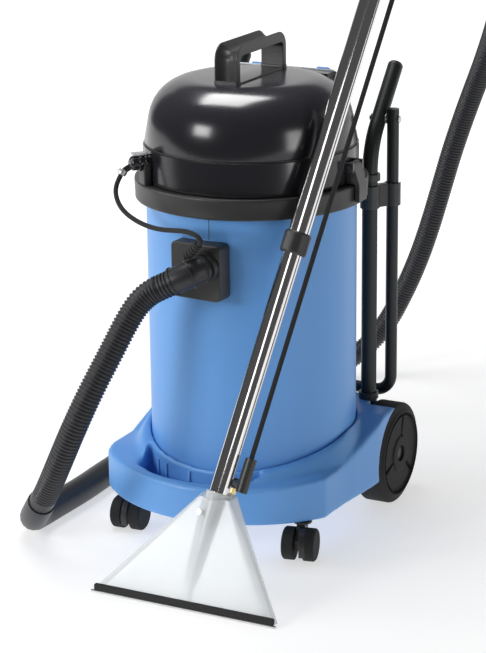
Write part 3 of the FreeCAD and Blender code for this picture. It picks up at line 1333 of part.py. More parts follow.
for thing in doc.Objects:
    if "Invalid" in thing.State or "Error" in thing.State:
        raise ValueError(f"{thing.Label} failed: {thing.State}")
for label, thing in NODES.items():
    if thing.Shape.isNull() or not thing.Shape.isValid() or not thing.Shape.Solids:
        raise ValueError(f"{label} has no valid solid")

os.makedirs("parts", exist_ok=True)
for label, thing in NODES.items():
    thing.Shape.exportStep(f"parts/{label}.step")
print(f"{len(NODES)} nodes written")
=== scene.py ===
"""Looks of a wheeled tub carpet cleaner, dressed over its packed construction model.

Everything is in metres in the model's own frame: Z runs up the tub's axis, -Y is the front with
the suction port, and +X is the side where the wand leans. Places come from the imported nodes'
boxes, and each class below holds the sizes of its own sub-assembly.
"""

from __future__ import annotations

import json
import logging
import math
from dataclasses import dataclass
from enum import Enum
from typing import Sequence

import bmesh
import bpy
import numpy as np
from mathutils import Matrix, Vector

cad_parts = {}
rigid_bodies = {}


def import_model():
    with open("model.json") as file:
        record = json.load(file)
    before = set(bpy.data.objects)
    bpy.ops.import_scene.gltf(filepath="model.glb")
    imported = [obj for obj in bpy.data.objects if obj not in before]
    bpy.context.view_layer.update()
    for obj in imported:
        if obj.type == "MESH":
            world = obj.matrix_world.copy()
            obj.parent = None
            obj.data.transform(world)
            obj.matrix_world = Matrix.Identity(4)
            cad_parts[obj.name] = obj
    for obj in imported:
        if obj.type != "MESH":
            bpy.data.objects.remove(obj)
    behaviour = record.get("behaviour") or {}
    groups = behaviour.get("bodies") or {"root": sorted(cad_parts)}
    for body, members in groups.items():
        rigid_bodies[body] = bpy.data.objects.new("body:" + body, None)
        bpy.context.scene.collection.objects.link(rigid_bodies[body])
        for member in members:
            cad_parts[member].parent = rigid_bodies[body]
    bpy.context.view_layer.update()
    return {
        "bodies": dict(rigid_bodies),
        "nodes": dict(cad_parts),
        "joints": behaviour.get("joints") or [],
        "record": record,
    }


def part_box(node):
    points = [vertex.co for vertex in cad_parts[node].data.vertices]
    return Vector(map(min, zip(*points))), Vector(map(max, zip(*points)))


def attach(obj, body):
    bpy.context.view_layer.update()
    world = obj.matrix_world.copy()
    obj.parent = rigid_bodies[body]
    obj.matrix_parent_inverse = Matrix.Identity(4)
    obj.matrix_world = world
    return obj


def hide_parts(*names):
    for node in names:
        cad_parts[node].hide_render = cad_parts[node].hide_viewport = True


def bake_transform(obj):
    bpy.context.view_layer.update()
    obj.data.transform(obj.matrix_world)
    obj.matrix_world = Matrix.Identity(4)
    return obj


LOG = logging.getLogger("carpet_cleaner")
MERGE_DISTANCE = 2e-6
FLAT_ANGLE = 0.5
Point = tuple[float, float, float]
Colour = Point
Corners = Sequence[Point]
Span = tuple[float, float]
Socket = bpy.types.NodeSocket
Piece = bpy.types.Object


# ---------------------------------------------------------------- finishes

class Graph:
    """A material's node tree, with short calls for the nodes used here."""

    def __init__(self, name: str) -> None:
        """Start a material with one principled shader and object coordinates."""
        self.material = bpy.data.materials.new(name)
        self.material.use_nodes = True
        self.tree = self.material.node_tree
        self.tree.nodes.clear()
        self.shader = self.add("ShaderNodeBsdfPrincipled")
        output = self.add("ShaderNodeOutputMaterial")
        self.join(self.shader.outputs["BSDF"], output.inputs["Surface"])
        self.place = self.add("ShaderNodeTexCoord").outputs["Object"]

    def add(self, kind: str) -> bpy.types.Node:
        """Add one node of a kind."""
        return self.tree.nodes.new(kind)

    def join(self, source: Socket, target: Socket) -> None:
        """Link an output to an input."""
        self.tree.links.new(source, target)

    def set(self, **values: float | Colour) -> None:
        """Set the shader's own sockets, named with underscores for spaces."""
        for name, value in values.items():
            socket = self.shader.inputs[name.replace("_", " ")]
            socket.default_value = (*value, 1.0) if isinstance(value, tuple) else value

    def stretched(self, along: Vector, squeeze: float) -> Socket:
        """Give coordinates drawn out along a direction.

        Args:
            along: the direction in which a pattern becomes long.
            squeeze: the share of its fineness that the pattern keeps along that direction.

        Returns:
            The vector socket.
        """
        turn = self.add("ShaderNodeMapping")
        turn.vector_type = "TEXTURE"
        turn.inputs["Rotation"].default_value = along.to_track_quat("Z", "Y").to_euler()
        self.join(self.place, turn.inputs["Vector"])
        scale = self.add("ShaderNodeVectorMath")
        scale.operation = "MULTIPLY"
        scale.inputs[1].default_value = (1.0, 1.0, squeeze)
        self.join(turn.outputs["Vector"], scale.inputs[0])
        return scale.outputs["Vector"]

    def noise(self, cell: float, detail: float = 2.0,
              place: Socket | None = None) -> Socket:
        """Give a noise value whose features are about one cell, in metres, apart."""
        node = self.add("ShaderNodeTexNoise")
        node.inputs["Scale"].default_value = 1.0 / cell
        node.inputs["Detail"].default_value = detail
        self.join(place or self.place, node.inputs["Vector"])
        return node.outputs["Fac"]

    def ranged(self, value: Socket, low: float, high: float) -> Socket:
        """Map a noise value's middle range onto low to high, eased at both ends."""
        node = self.add("ShaderNodeMapRange")
        node.interpolation_type = "SMOOTHSTEP"
        node.inputs["From Min"].default_value = 0.3
        node.inputs["From Max"].default_value = 0.7
        node.inputs["To Min"].default_value = low
        node.inputs["To Max"].default_value = high
        self.join(value, node.inputs["Value"])
        return node.outputs["Result"]

    def mixed(self, share: Socket, first: Colour | Socket, second: Colour) -> Socket:
        """Mix a colour, plain or from a socket, with a second plain colour by a share."""
        node = self.add("ShaderNodeMix")
        node.data_type = "RGBA"
        if isinstance(first, tuple):
            node.inputs["A"].default_value = (*first, 1.0)
        else:
            self.join(first, node.inputs["A"])
        node.inputs["B"].default_value = (*second, 1.0)
        self.join(share, node.inputs["Factor"])
        return node.outputs["Result"]

    def bump(self, height: Socket, depth: float,
             under: Socket | None = None) -> Socket:
        """Turn a height value into a normal, with its depth in metres."""
        node = self.add("ShaderNodeBump")
        node.inputs["Strength"].default_value = 1.0
        node.inputs["Distance"].default_value = depth
        self.join(height, node.inputs["Height"])
        if under is not None:
            self.join(under, node.inputs["Normal"])
        return node.outputs["Normal"]


DUST: Colour = (0.30, 0.29, 0.27)


def shaded(colour: Colour, factor: float) -> Colour:
    """Scale a colour, kept within the range that a surface can have."""
    return tuple(min(1.0, part * factor) for part in colour)


@dataclass(frozen=True)
class Finish:
    """A moulded or painted surface: fine grain, slow changes of tone and of gloss."""

    name: str
    colour: Colour
    roughness: float
    grain: float = 0.0012
    depth: float = 0.00001
    tone: float = 0.05
    smudge: float = 0.05
    wave: float = 0.0
    metallic: float = 0.0
    coat: float = 0.0
    ior: float = 1.5
    specular: float = 0.5
    dust: float = 0.0

    def graph(self) -> Graph:
        """Build the node tree.

        Colour is mixed by a slow noise, roughness by another, and pale dust lies in patches. The
        normal takes the fine grain over a slow wave that keeps large mouldings from looking
        machined.
        """
        graph = Graph(self.name)
        graph.set(Metallic=self.metallic, Coat_Weight=self.coat, Coat_Roughness=0.06,
                  IOR=self.ior, Specular_IOR_Level=self.specular)
        slow = graph.noise(0.09, 3.0)
        colour = graph.mixed(graph.ranged(slow, 0.0, 1.0), shaded(self.colour, 1.0 - self.tone),
                             shaded(self.colour, 1.0 + self.tone))
        if self.dust > 0.0:
            patches = graph.ranged(graph.noise(0.012, 5.0), 0.0, self.dust)
            colour = graph.mixed(patches, colour, DUST)
        graph.join(colour, graph.shader.inputs["Base Color"])
        rubbed = graph.noise(0.03, 4.0)
        self.gloss(graph, rubbed)
        normal = graph.bump(graph.noise(0.06, 1.0), self.wave) if self.wave else None
        normal = graph.bump(graph.noise(self.grain, 3.0), self.depth, normal)
        graph.join(normal, graph.shader.inputs["Normal"])
        return graph

    def gloss(self, graph: Graph, value: Socket) -> None:
        """Let a noise value move the roughness by the smudge either way."""
        graph.join(graph.ranged(value, self.roughness - self.smudge, self.roughness + self.smudge),
                   graph.shader.inputs["Roughness"])

    def material(self) -> bpy.types.Material:
        """Give the finished material."""
        return self.graph().material


@dataclass(frozen=True)
class DrawnTube(Finish):
    """Plated tube with faint lines drawn along it."""

    along: Point = (0.0, 0.0, 1.0)
    line: float = 0.0009

    def graph(self) -> Graph:
        """Add long fine lines to the normal and the gloss of the plain finish."""
        graph = super().graph()
        lines = graph.noise(self.line, 2.0, graph.stretched(Vector(self.along), 0.01))
        self.gloss(graph, lines)
        graph.join(graph.bump(lines, self.depth), graph.shader.inputs["Normal"])
        return graph


@dataclass(frozen=True)
class Milky(Finish):
    """Translucent moulding that lets soft light through."""

    through: float = 0.62
    glow: float = 0.15

    def graph(self) -> Graph:
        """Add transmission and a shallow scatter to the plain finish."""
        graph = super().graph()
        graph.set(Transmission_Weight=self.through, Subsurface_Weight=self.glow,
                  Subsurface_Radius=(0.008, 0.008, 0.009), Subsurface_Scale=1.0)
        return graph


WAND_LINE: Point = (0.132, 0.410, 0.902)


class Slot(Enum):
    """The record's material slots and the finish of each."""

    BLUE = Finish("blue_plastic", (0.036, 0.188, 0.545), 0.27, grain=0.0016, depth=0.000012,
                  tone=0.03, smudge=0.04, wave=0.0003, coat=0.15)
    DOME = Finish("black_gloss", (0.0012, 0.0015, 0.0026), 0.011, grain=0.004, depth=0.000001,
                  tone=0.2, smudge=0.006)
    BLACK = Finish("black_plastic", (0.0065, 0.0068, 0.0088), 0.34, grain=0.0009, depth=0.00003,
                   tone=0.12, smudge=0.05, specular=0.22)
    RUBBER = Finish("black_rubber", (0.044, 0.044, 0.047), 0.50, grain=0.0011, depth=0.00004,
                    tone=0.15, smudge=0.07, dust=0.10)
    HOSE = Finish("hose_rubber", (0.006, 0.006, 0.007), 0.20, grain=0.0016, depth=0.00002,
                  tone=0.2, smudge=0.05, specular=0.27)
    PAINT = Finish("black_paint", (0.010, 0.011, 0.012), 0.26, grain=0.0022, depth=0.00002,
                   tone=0.1, smudge=0.05)
    ZINC = Finish("zinc_steel", (0.62, 0.62, 0.63), 0.30, grain=0.0008, depth=0.00001,
                  tone=0.06, metallic=1.0)
    CHROME = DrawnTube("chrome", (0.64, 0.56, 0.53), 0.13, depth=0.000006, tone=0.02,
                       smudge=0.03, metallic=1.0, along=WAND_LINE)
    PALE = Finish("pale_plastic", (0.60, 0.66, 0.70), 0.35, tone=0.03)
    CLEAR = Milky("clear_plastic", (0.34, 0.352, 0.366), 0.26, grain=0.004, depth=0.00002,
                  tone=0.02, smudge=0.06, wave=0.0003)
    BRASS = Finish("brass", (0.72, 0.50, 0.24), 0.28, tone=0.08, metallic=1.0)
    ALUMINIUM = DrawnTube("aluminium", (0.80, 0.79, 0.78), 0.16, depth=0.000008, tone=0.03,
                          smudge=0.05, metallic=1.0, along=(1.0, 0.0, 0.0))
    TANK = Finish("tank_plastic", (0.60, 0.62, 0.62), 0.4)
    MOTOR = Finish("motor_plastic", (0.05, 0.05, 0.055), 0.5)
    ROCKER = Finish("rocker_plastic", (0.03, 0.24, 0.62), 0.18, coat=0.3)


# ---------------------------------------------------------------- shapes

class Ends(Enum):
    """How the first and last rows of a grid are closed."""

    OPEN = "open"
    CAPPED = "capped"
    JOINED = "joined"


def turns(count: int) -> np.ndarray:
    """Give evenly spread angles round a circle."""
    return np.linspace(0.0, 2.0 * math.pi, count, endpoint=False)


def bearing(turn: float) -> tuple[np.ndarray, np.ndarray]:
    """Give the level outward and sideways directions at a turn in degrees from the front."""
    angle = math.radians(turn)
    out = np.array((math.sin(angle), -math.cos(angle), 0.0))
    return out, np.array((math.cos(angle), math.sin(angle), 0.0))


def standing(along: Vector, origin: Vector) -> Matrix:
    """Give the frame at an origin whose Z runs along a direction."""
    frame = along.to_track_quat("Z", "Y").to_matrix().to_4x4()
    frame.translation = origin
    return frame


def linked(name: str, mesh: bpy.types.Mesh) -> Piece:
    """Put a mesh in the scene as an object at the origin."""
    piece = bpy.data.objects.new(name, mesh)
    bpy.context.scene.collection.objects.link(piece)
    return piece


def surface(name: str, points: np.ndarray, ends: Ends = Ends.CAPPED, sharp: float = 40.0) -> Piece:
    """Make a closed surface from a grid of points whose columns run round it.

    The face at row i and column j takes grid points (i, j), (i, j+1), (i+1, j+1) and (i+1, j),
    with the last column next to the first.

    Args:
        name: the piece's name.
        points: an array of rows, columns and three coordinates.
        ends: how the first and last rows are closed.
        sharp: the angle in degrees past which an edge stays crisp.

    Returns:
        The new object, with merged corners and faces that point outwards.
    """
    rows, columns = points.shape[:2]
    index = np.arange(rows * columns).reshape(rows, columns)
    low = index if ends is Ends.JOINED else index[:-1]
    high = np.roll(index, -1, axis=0) if ends is Ends.JOINED else index[1:]
    quads = np.stack([low, np.roll(low, -1, axis=1), np.roll(high, -1, axis=1), high], axis=-1)
    faces = quads.reshape(-1, 4).tolist()
    if ends is Ends.CAPPED:
        faces += [index[0][::-1].tolist(), index[-1].tolist()]
    mesh = bpy.data.meshes.new(name)
    mesh.from_pydata(points.reshape(-1, 3).tolist(), [], faces)
    tidied(mesh, sharp)
    return linked(name, mesh)


def stacked(name: str, place: np.ndarray, ring: np.ndarray, heights: np.ndarray,
            sizes: np.ndarray) -> Piece:
    """Stack copies of a level ring into an upright piece.

    Row i is place + size i * ring, raised by height i.
    """
    points = place + ring[None, :, :] * sizes[:, None, None]
    points[:, :, 2] += heights[:, None]
    return surface(name, points)


def tidied(mesh: bpy.types.Mesh, sharp: float) -> None:
    """Merge doubles, turn faces outwards, and shade smoothly up to an angle in degrees."""
    work = bmesh.new()
    work.from_mesh(mesh)
    bmesh.ops.remove_doubles(work, verts=work.verts, dist=MERGE_DISTANCE)
    bmesh.ops.dissolve_degenerate(work, edges=work.edges, dist=1e-7)
    bmesh.ops.recalc_face_normals(work, faces=work.faces)
    work.to_mesh(mesh)
    work.free()
    mesh.shade_smooth()
    mesh.set_sharp_from_angle(angle=math.radians(sharp))


def rounded(corners: Corners, steps: int = 8) -> np.ndarray:
    """Round the inner corners of an open outline.

    Each corner is (x, y, radius). Its arc touches both sides at radius times the tangent of half
    the turn, and its centre is on the line that halves the corner.

    Args:
        corners: the outline's corners in order.
        steps: the number of short sides in each arc.

    Returns:
        The outline as an array of x and y.
    """
    flat = np.array([corner[:2] for corner in corners], float)
    outline = [flat[0]]
    for before, here, after, (_, _, radius) in zip(flat, flat[1:], flat[2:], corners[1:]):
        if radius <= 0.0:
            outline.append(here)
            continue
        back = (before - here) / np.linalg.norm(before - here)
        on = (after - here) / np.linalg.norm(after - here)
        half = math.acos(float(np.clip(back @ on, -1.0, 1.0))) / 2.0
        middle = (back + on) / np.linalg.norm(back + on)
        centre = here + middle * radius / math.sin(half)
        start = here + back * radius / math.tan(half) - centre
        end = here + on * radius / math.tan(half) - centre
        turn = math.pi - 2.0 * half
        share = np.linspace(0.0, 1.0, steps + 1)[:, None]
        arc = (np.sin((1.0 - share) * turn) * start + np.sin(share * turn) * end) / math.sin(turn)
        outline.extend(centre + arc)
    outline.append(flat[-1])
    return np.array(outline)


def revolved(name: str, corners: Corners, frame: Matrix | None = None, around: int = 144,
             ends: Ends = Ends.CAPPED, sharp: float = 40.0) -> Piece:
    """Turn a rounded outline of radius and height about Z.

    Point (radius, height) goes to (radius cos a, radius sin a, height) for each angle a.
    """
    outline = rounded(corners)
    angle = turns(around)
    points = np.stack([outline[:, :1] * np.cos(angle), outline[:, :1] * np.sin(angle),
                       np.repeat(outline[:, 1:], around, axis=1)], axis=-1)
    return surface(name, placed(points, frame), ends, sharp)


def placed(points: np.ndarray, frame: Matrix | None) -> np.ndarray:
    """Carry points from a piece's own frame into the model's."""
    if frame is None:
        return points
    matrix = np.array(frame)
    return points @ matrix[:3, :3].T + matrix[:3, 3]


def directions(path: np.ndarray) -> np.ndarray:
    """Give the unit direction of a path at each of its points."""
    tangent = np.gradient(path, axis=0)
    return tangent / np.linalg.norm(tangent, axis=1, keepdims=True)


def carried_frames(path: np.ndarray, side: Vector) -> tuple[np.ndarray, np.ndarray]:
    """Carry a side direction along a path without twist.

    At each station the last side loses its part along the new direction and is made unit again.

    Args:
        path: the points of the path.
        side: a direction that isn't along the path's start.

    Returns:
        The side and the upward direction at each point.
    """
    tangent = directions(path)
    sides = np.empty_like(path)
    current = np.array(side, float)
    for station, along in enumerate(tangent):
        current = current - along * (current @ along)
        current /= np.linalg.norm(current)
        sides[station] = current
    return sides, np.cross(tangent, sides)


def swept_round(name: str, path: np.ndarray, radii: np.ndarray, around: int = 28,
                ends: Ends = Ends.CAPPED, sharp: float = 50.0) -> Piece:
    """Carry a circle of changing radius along a path.

    Each ring's points are path + radius (cos a * side + sin a * up).
    """
    sides, ups = carried_frames(path, Vector((0.3, 0.2, 0.93)))
    angle = turns(around)
    ring = (np.cos(angle)[None, :, None] * sides[:, None, :]
            + np.sin(angle)[None, :, None] * ups[:, None, :])
    return surface(name, path[:, None, :] + radii[:, None, None] * ring, ends, sharp)


def measured(path: np.ndarray) -> np.ndarray:
    """Give the distance run along a path at each of its points."""
    steps = np.linalg.norm(np.diff(path, axis=0), axis=1)
    return np.concatenate([[0.0], np.cumsum(steps)])


def spaced(path: np.ndarray, distances: np.ndarray) -> np.ndarray:
    """Give the points of a path at given distances along it."""
    run = measured(path)
    return np.stack([np.interp(distances, run, path[:, axis]) for axis in range(3)], axis=1)


def spline(name: str, corners: np.ndarray) -> Piece:
    """Make a smooth curve that is led by a route's corners and starts and ends on them."""
    curve = bpy.data.curves.new(name, "CURVE")
    curve.dimensions = "3D"
    line = curve.splines.new("NURBS")
    line.points.add(len(corners) - 1)
    line.points.foreach_set("co", np.column_stack([corners, np.ones(len(corners))]).ravel())
    line.order_u = 3
    line.use_endpoint_u = True
    line.resolution_u = 16
    piece = bpy.data.objects.new(name, curve)
    bpy.context.scene.collection.objects.link(piece)
    return piece


def spline_path(corners: np.ndarray) -> np.ndarray:
    """Read the points of the smooth curve that a route's corners lead."""
    guide = spline("guide", corners)
    bpy.context.view_layer.update()
    graph = bpy.context.evaluated_depsgraph_get()
    sampled = bpy.data.meshes.new_from_object(guide.evaluated_get(graph))
    path = np.empty(len(sampled.vertices) * 3)
    sampled.vertices.foreach_get("co", path)
    bpy.data.objects.remove(guide)
    bpy.data.meshes.remove(sampled)
    return path.reshape(-1, 3)


def softened(piece: Piece, width: float, segments: int = 3, angle: float = 32.0) -> None:
    """Round a piece's sharp edges with a bevel of a width in metres."""
    bevel = piece.modifiers.new("edges", "BEVEL")
    bevel.width = width
    bevel.segments = segments
    bevel.limit_method = "ANGLE"
    bevel.angle_limit = math.radians(angle)
    bevel.harden_normals = True
    bevel.miter_outer = "MITER_ARC"


def dressed(piece: Piece, slot: Slot, body: str, *nodes: str) -> Piece:
    """Give a piece its finish and body, and hide the nodes that it stands for.

    Args:
        piece: the piece.
        slot: its material slot.
        body: the body that it rides on.
        nodes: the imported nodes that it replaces.

    Returns:
        The piece.
    """
    wear(piece, slot)
    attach(piece, body)
    if nodes:
        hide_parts(*nodes)
    LOG.info("%s rides on %s in %s", piece.name, body, slot.value.name)
    return piece


def wear(piece: Piece, slot: Slot) -> None:
    """Put a slot's material on a piece."""
    material = bpy.data.materials.get(slot.value.name) or slot.value.material()
    piece.data.materials.clear()
    piece.data.materials.append(material)


def refined(node: Piece, edge: float, sharp: float = 34.0) -> Piece:
    """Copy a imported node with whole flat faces, smooth curves and softened edges.

    Args:
        node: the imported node's object.
        edge: the width of its edges' rounding in metres, or nothing for crisp edges.
        sharp: the angle in degrees past which an edge stays crisp.

    Returns:
        The copy.
    """
    count = len(node.data.vertices)
    corners = np.empty(count * 3)
    node.data.vertices.foreach_get("co", corners)
    mesh = bpy.data.meshes.new(node.name + "_skin")
    mesh.from_pydata(corners.reshape(-1, 3).tolist(), [],
                     [tuple(face.vertices) for face in node.data.polygons])
    work = bmesh.new()
    work.from_mesh(mesh)
    bmesh.ops.remove_doubles(work, verts=work.verts, dist=MERGE_DISTANCE)
    bmesh.ops.dissolve_limit(work, angle_limit=math.radians(FLAT_ANGLE), verts=work.verts,
                             edges=work.edges)
    work.to_mesh(mesh)
    work.free()
    mesh.shade_smooth()
    mesh.set_sharp_from_angle(angle=math.radians(sharp))
    copy = linked(node.name + "_skin", mesh)
    if edge > 0.0:
        softened(copy, edge)
    return copy


def melted(node: Piece, voxel: float, rounds: int) -> Piece:
    """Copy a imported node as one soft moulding: an even skin, eased over several rounds."""
    copy = refined(node, 0.0)
    skin = copy.modifiers.new("skin", "REMESH")
    skin.mode = "VOXEL"
    skin.voxel_size = voxel
    skin.use_smooth_shade = True
    ease = copy.modifiers.new("ease", "SMOOTH")
    ease.factor = 0.5
    ease.iterations = rounds
    return copy


def prism(name: str, outline: np.ndarray, low: float, high: float, edge: float,
          frame: Matrix | None = None) -> Piece:
    """Raise a flat outline to a slab with a rounded upper edge.

    At angle a of the edge's quarter circle, the outline is drawn in by edge * (1 - cos a) and
    stands at high - edge * (1 - sin a).
    """
    centre = outline.mean(axis=0)
    reach = np.abs(outline - centre).max(axis=0)
    turn = np.linspace(0.0, math.pi / 2.0, 6)
    inset = np.concatenate([[0.0], edge * (1.0 - np.cos(turn))])[:, None, None]
    heights = np.concatenate([[low], high - edge * (1.0 - np.sin(turn))])
    flat = centre + (outline - centre)[None] * (1.0 - inset / reach)
    rise = np.broadcast_to(heights[:, None, None], (len(heights), len(outline), 1))
    return surface(name, placed(np.concatenate([flat, rise], axis=2), frame))


def rounded_rectangle(across: Span, along: Span, radius: float) -> np.ndarray:
    """Give a rectangle's closed outline with rounded corners."""
    (left, right), (front, back) = across, along
    middle = (left + right) / 2.0
    return rounded(((middle, front, 0.0), (right, front, radius), (right, back, radius),
                    (left, back, radius), (left, front, radius), (middle, front, 0.0)), 6)[:-1]


# ---------------------------------------------------------------- studio

@dataclass
class Studio:
    """Camera, pale floor, soft boxes and a plain surround."""

    eye: Point = (1.62966, -3.21008, 1.44654)
    aim: Point = (-0.43677, 0.85033, -0.29356)
    roll: float = -0.674
    lens: float = 120.68
    sensor: float = 36.0
    gloom: float = 0.085
    floor_half: float = 7.0
    floor_front: float = 1.35
    floor_glow: Span = (0.58, 1.0)
    glow_reach: Span = (0.6, 2.4)
    white: float = 0.85
    fade: tuple[tuple[str, float, float], ...] = (("Y", 0.44, 0.52), ("Z", 0.47, 0.43))

    def camera(self) -> None:
        """Stand the camera at its place, turned about its own axis by the roll."""
        data = bpy.data.cameras.new("camera")
        data.lens = self.lens
        data.sensor_width = self.sensor
        data.clip_end = 60.0
        camera = bpy.data.objects.new("camera", data)
        bpy.context.scene.collection.objects.link(camera)
        forward = Vector(self.aim).normalized()
        right = forward.cross(Vector((0.0, 0.0, 1.0))).normalized()
        up = right.cross(forward)
        turn = math.radians(self.roll)
        across = math.cos(turn) * right + math.sin(turn) * up
        above = math.cos(turn) * up - math.sin(turn) * right
        frame = Matrix((across, above, -forward)).transposed().to_4x4()
        frame.translation = Vector(self.eye)
        camera.matrix_world = frame
        bpy.context.scene.camera = camera

    def soft_box(self, name: str, place: Point, aim: Point, size: Span, watts: float,
                 lit: Sequence[str]) -> None:
        """Stand a rectangular soft light.

        Args:
            name: the light's name.
            place: where its middle is.
            aim: the point that it faces.
            size: its width and height.
            watts: its power.
            lit: the names of the pieces that it lights.
        """
        data = bpy.data.lights.new(name, "AREA")
        data.shape = "RECTANGLE"
        data.size, data.size_y = size
        data.energy = watts
        light = bpy.data.objects.new(name, data)
        bpy.context.scene.collection.objects.link(light)
        light.location = place
        light.rotation_mode = "QUATERNION"
        light.rotation_quaternion = (Vector(aim) - Vector(place)).to_track_quat("-Z", "Y")
        takers = bpy.data.collections.new(name + "_takers")
        for piece in map(bpy.data.objects.get, lit):
            takers.objects.link(piece)
        light.light_linking.receiver_collection = takers

    def surround(self) -> None:
        """Make a white surround behind the object that darkens to the front and overhead."""
        world = bpy.data.worlds.new("surround")
        world.use_nodes = True
        tree = world.node_tree
        tree.nodes.clear()
        add, join = tree.nodes.new, tree.links.new
        place = add("ShaderNodeTexCoord")
        split = add("ShaderNodeSeparateXYZ")
        join(place.outputs["Generated"], split.inputs["Vector"])
        shares = []
        for axis, start, end in self.fade:
            share = add("ShaderNodeMapRange")
            share.interpolation_type = "SMOOTHSTEP"
            share.inputs["From Min"].default_value = start
            share.inputs["From Max"].default_value = end
            join(split.outputs[axis], share.inputs["Value"])
            shares.append(share.outputs["Result"])
        both = add("ShaderNodeMath")
        both.operation = "MULTIPLY"
        for share, socket in zip(shares, both.inputs):
            join(share, socket)
        level = add("ShaderNodeMapRange")
        level.inputs["To Min"].default_value = self.gloom
        level.inputs["To Max"].default_value = self.white
        join(both.outputs["Value"], level.inputs["Value"])
        lit = add("ShaderNodeBackground")
        join(level.outputs["Result"], lit.inputs["Strength"])
        plain = add("ShaderNodeBackground")
        plain.inputs["Strength"].default_value = 1.0
        seen = add("ShaderNodeLightPath")
        mix = add("ShaderNodeMixShader")
        join(seen.outputs["Is Camera Ray"], mix.inputs["Fac"])
        join(lit.outputs["Background"], mix.inputs[1])
        join(plain.outputs["Background"], mix.inputs[2])
        for ground in (lit, plain):
            ground.inputs["Color"].default_value = (1.0, 1.0, 1.0, 1.0)
        output = add("ShaderNodeOutputWorld")
        join(mix.outputs["Shader"], output.inputs["Surface"])
        bpy.context.scene.world = world

    def floor(self) -> None:
        """Lay the pale floor, which grows lighter with its distance from the machine."""
        half, front = self.floor_half, self.floor_front
        square = ((-half, -front, 0), (half, -front, 0), (half, half, 0), (-half, half, 0))
        mesh = bpy.data.meshes.new("floor")
        mesh.from_pydata(square, [], [(0, 1, 2, 3)])
        floor = linked("floor", mesh)
        graph = Finish("pale_floor", (0.55, 0.55, 0.55), 0.7, tone=0.004, depth=0.0).graph()
        away = graph.add("ShaderNodeVectorMath")
        away.operation = "LENGTH"
        graph.join(graph.place, away.inputs[0])
        glow = graph.add("ShaderNodeMapRange")
        for side, (least, most) in (("From", self.glow_reach), ("To", self.floor_glow)):
            glow.inputs[side + " Min"].default_value = least
            glow.inputs[side + " Max"].default_value = most
        graph.join(away.outputs["Value"], glow.inputs["Value"])
        graph.join(glow.outputs["Result"], graph.shader.inputs["Emission Strength"])
        graph.set(Emission_Color=(1.0, 1.0, 1.0))
        floor.data.materials.append(graph.material)

    def lights(self) -> None:
        """Stand the soft boxes once the pieces are made, since some light only a few of them."""
        middle = (0.0, 0.0, 0.4)
        glossy = ("motor_dome", "head_skirt_skin", "latch_left_skin", "latch_right_skin")
        tubes = ("wand_lower_skin", "wand_upper_skin", "fishtail_lip")
        pieces = [piece.name for piece in bpy.context.scene.objects
                  if piece.type in {"MESH", "CURVE"}]
        others = [name for name in pieces if name not in glossy + tubes]
        solid = others + list(glossy)
        wheels_up, head, tool = (0.0, 0.0, 0.6), (0.0, 0.0, 0.7), (0.15, -0.2, 0.7)
        boxes = (("overhead_bar", (-0.62, 0.1, 3.0), middle, (1.5, 1.5), 125.0, glossy),
                 ("overhead_box", (-0.5, 0.1, 3.0), middle, (1.7, 1.5), 34.0, others),
                 ("front_box", (-1.45, -2.75, 1.35), middle, (1.0, 0.8), 40.0, solid),
                 ("side_box", (3.1, -0.9, 0.62), wheels_up, (1.1, 1.2), 9.0, others),
                 ("panel_box", (2.6, -0.76, 0.50), head, (0.8, 1.5), 24.0, glossy),
                 ("key_box", (-3.0, -1.3, 1.9), middle, (1.8, 2.0), 40.0, others),
                 ("tube_box", (0.85, -3.3, 2.1), tool, (1.0, 1.3), 11.0, tubes))
        for box in boxes:
            self.soft_box(*box)

    def build(self) -> None:
        """Set up all of the studio but its lights."""
        self.camera()
        self.floor()
        self.surround()
        view = bpy.context.scene.view_settings
        view.view_transform = "Standard"
        view.look = "None"


# ---------------------------------------------------------------- hoses

